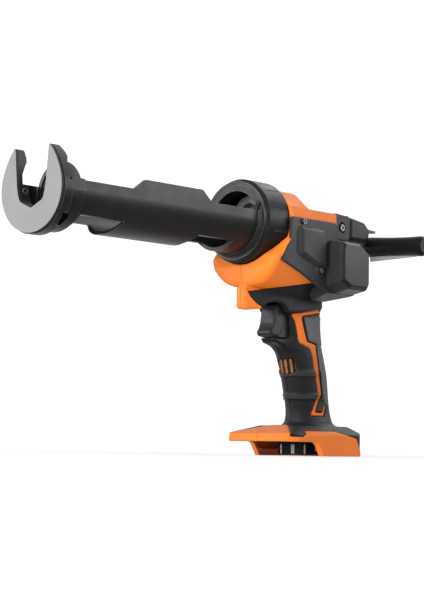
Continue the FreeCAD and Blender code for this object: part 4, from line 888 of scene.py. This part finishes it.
# pale paper wall all round, seen only directly
wm = Mat("wall_paper")
WALL = wm.out(wm.mix(wm.remap(wm.noise(2.0, 3.0), 0.3, 0.7, 0.0, 1.0), lin("929292"), lin("989898")), 0.9, wm.bump(wm.noise(300.0), 0.05, 0.0003),
              Specular_IOR_Level=0.1, Emission_Color=(1.0, 1.0, 1.0, 1.0), Emission_Strength=0.9)
n = 96
ring = [(3.9 * math.cos(2 * math.pi * i / n), 3.9 * math.sin(2 * math.pi * i / n)) for i in range(n)]
me = bpy.data.meshes.new("wall")
me.from_pydata([(x, y, -0.0003) for x, y in ring] + [(x, y, 5.0) for x, y in ring], [], [(i, (i + 1) % n, n + (i + 1) % n, n + i) for i in range(n)])
me.materials.append(WALL)
wall = bpy.data.objects.new("wall", me)
bpy.context.scene.collection.objects.link(wall)
wall.visible_diffuse = wall.visible_glossy = wall.visible_shadow = False

# white sweep behind the tool, falling off to a dimmer room
world = bpy.data.worlds.new("studio")
bpy.context.scene.world = world
world.use_nodes = True
wt = world.node_tree
bg = wt.nodes["Background"]
bg.inputs["Color"].default_value = (1.0, 1.0, 1.0, 1.0)
tc = wt.nodes.new("ShaderNodeTexCoord")
dot = wt.nodes.new("ShaderNodeVectorMath")
dot.operation = "DOT_PRODUCT"
dot.inputs[1].default_value = (0.73, 0.67, 0.12)
wt.links.new(tc.outputs["Generated"], dot.inputs[0])
mr = wt.nodes.new("ShaderNodeMapRange")
mr.interpolation_type = "SMOOTHSTEP"
for k, v in zip(("From Min", "From Max", "To Min", "To Max"), (0.2, 0.9, 0.25, 1.02)):
    mr.inputs[k].default_value = v
wt.links.new(dot.outputs["Value"], mr.inputs["Value"])
wt.links.new(mr.outputs["Result"], bg.inputs["Strength"])
T = (-0.1, 0.0, 0.15)
area("key", (-1.75, -0.45, 1.0), T, (0.9, 0.9), 29.5)
area("top", (-0.15, -0.25, 1.75), T, (1.2, 0.5), 4.0)
area("fill_low", (-1.5, -0.42, 0.09), (-0.06, 0.0, 0.12), (0.8, 0.16), 12.0, glossy=False)
area("card_right", (0.88, -1.02, 0.55), T, (1.2, 0.4), 11.5, diffuse=False)
area("card_back", (0.86, -0.05, 1.15), T, (1.2, 0.4), 6.0, diffuse=False)
area("card_left", (-0.95, 0.82, 0.30), (0.0, -0.05, 0.165), (0.7, 0.7), 10.0, diffuse=False)
bpy.context.scene.view_settings.view_transform = "Standard"

cd = bpy.data.cameras.new("camera")
cam = bpy.data.objects.new("camera", cd)
bpy.context.scene.collection.objects.link(cam)
a, p, ro = math.radians(47.53), math.radians(4.894), math.radians(0.8346)
fw = Vector((math.sin(a) * math.cos(p), math.cos(a) * math.cos(p), math.sin(p)))
rt = Vector((math.cos(a), -math.sin(a), 0.0))
up = rt.cross(fw)
rt2 = math.cos(ro) * rt + math.sin(ro) * up
up2 = -math.sin(ro) * rt + math.cos(ro) * up
m = Matrix.Identity(4)
for i in range(3):
    m[i][0], m[i][1], m[i][2] = rt2[i], up2[i], -fw[i]
m[0][3], m[1][3], m[2][3] = (float(v) for v in row((-876.68, -993.97, -197.85)))
cam.matrix_world = m
cd.sensor_width = 36.0
cd.lens = 1719.29 / 600.0 * 36.0
cd.clip_start, cd.clip_end = 0.05, 50.0
bpy.context.scene.camera = cam
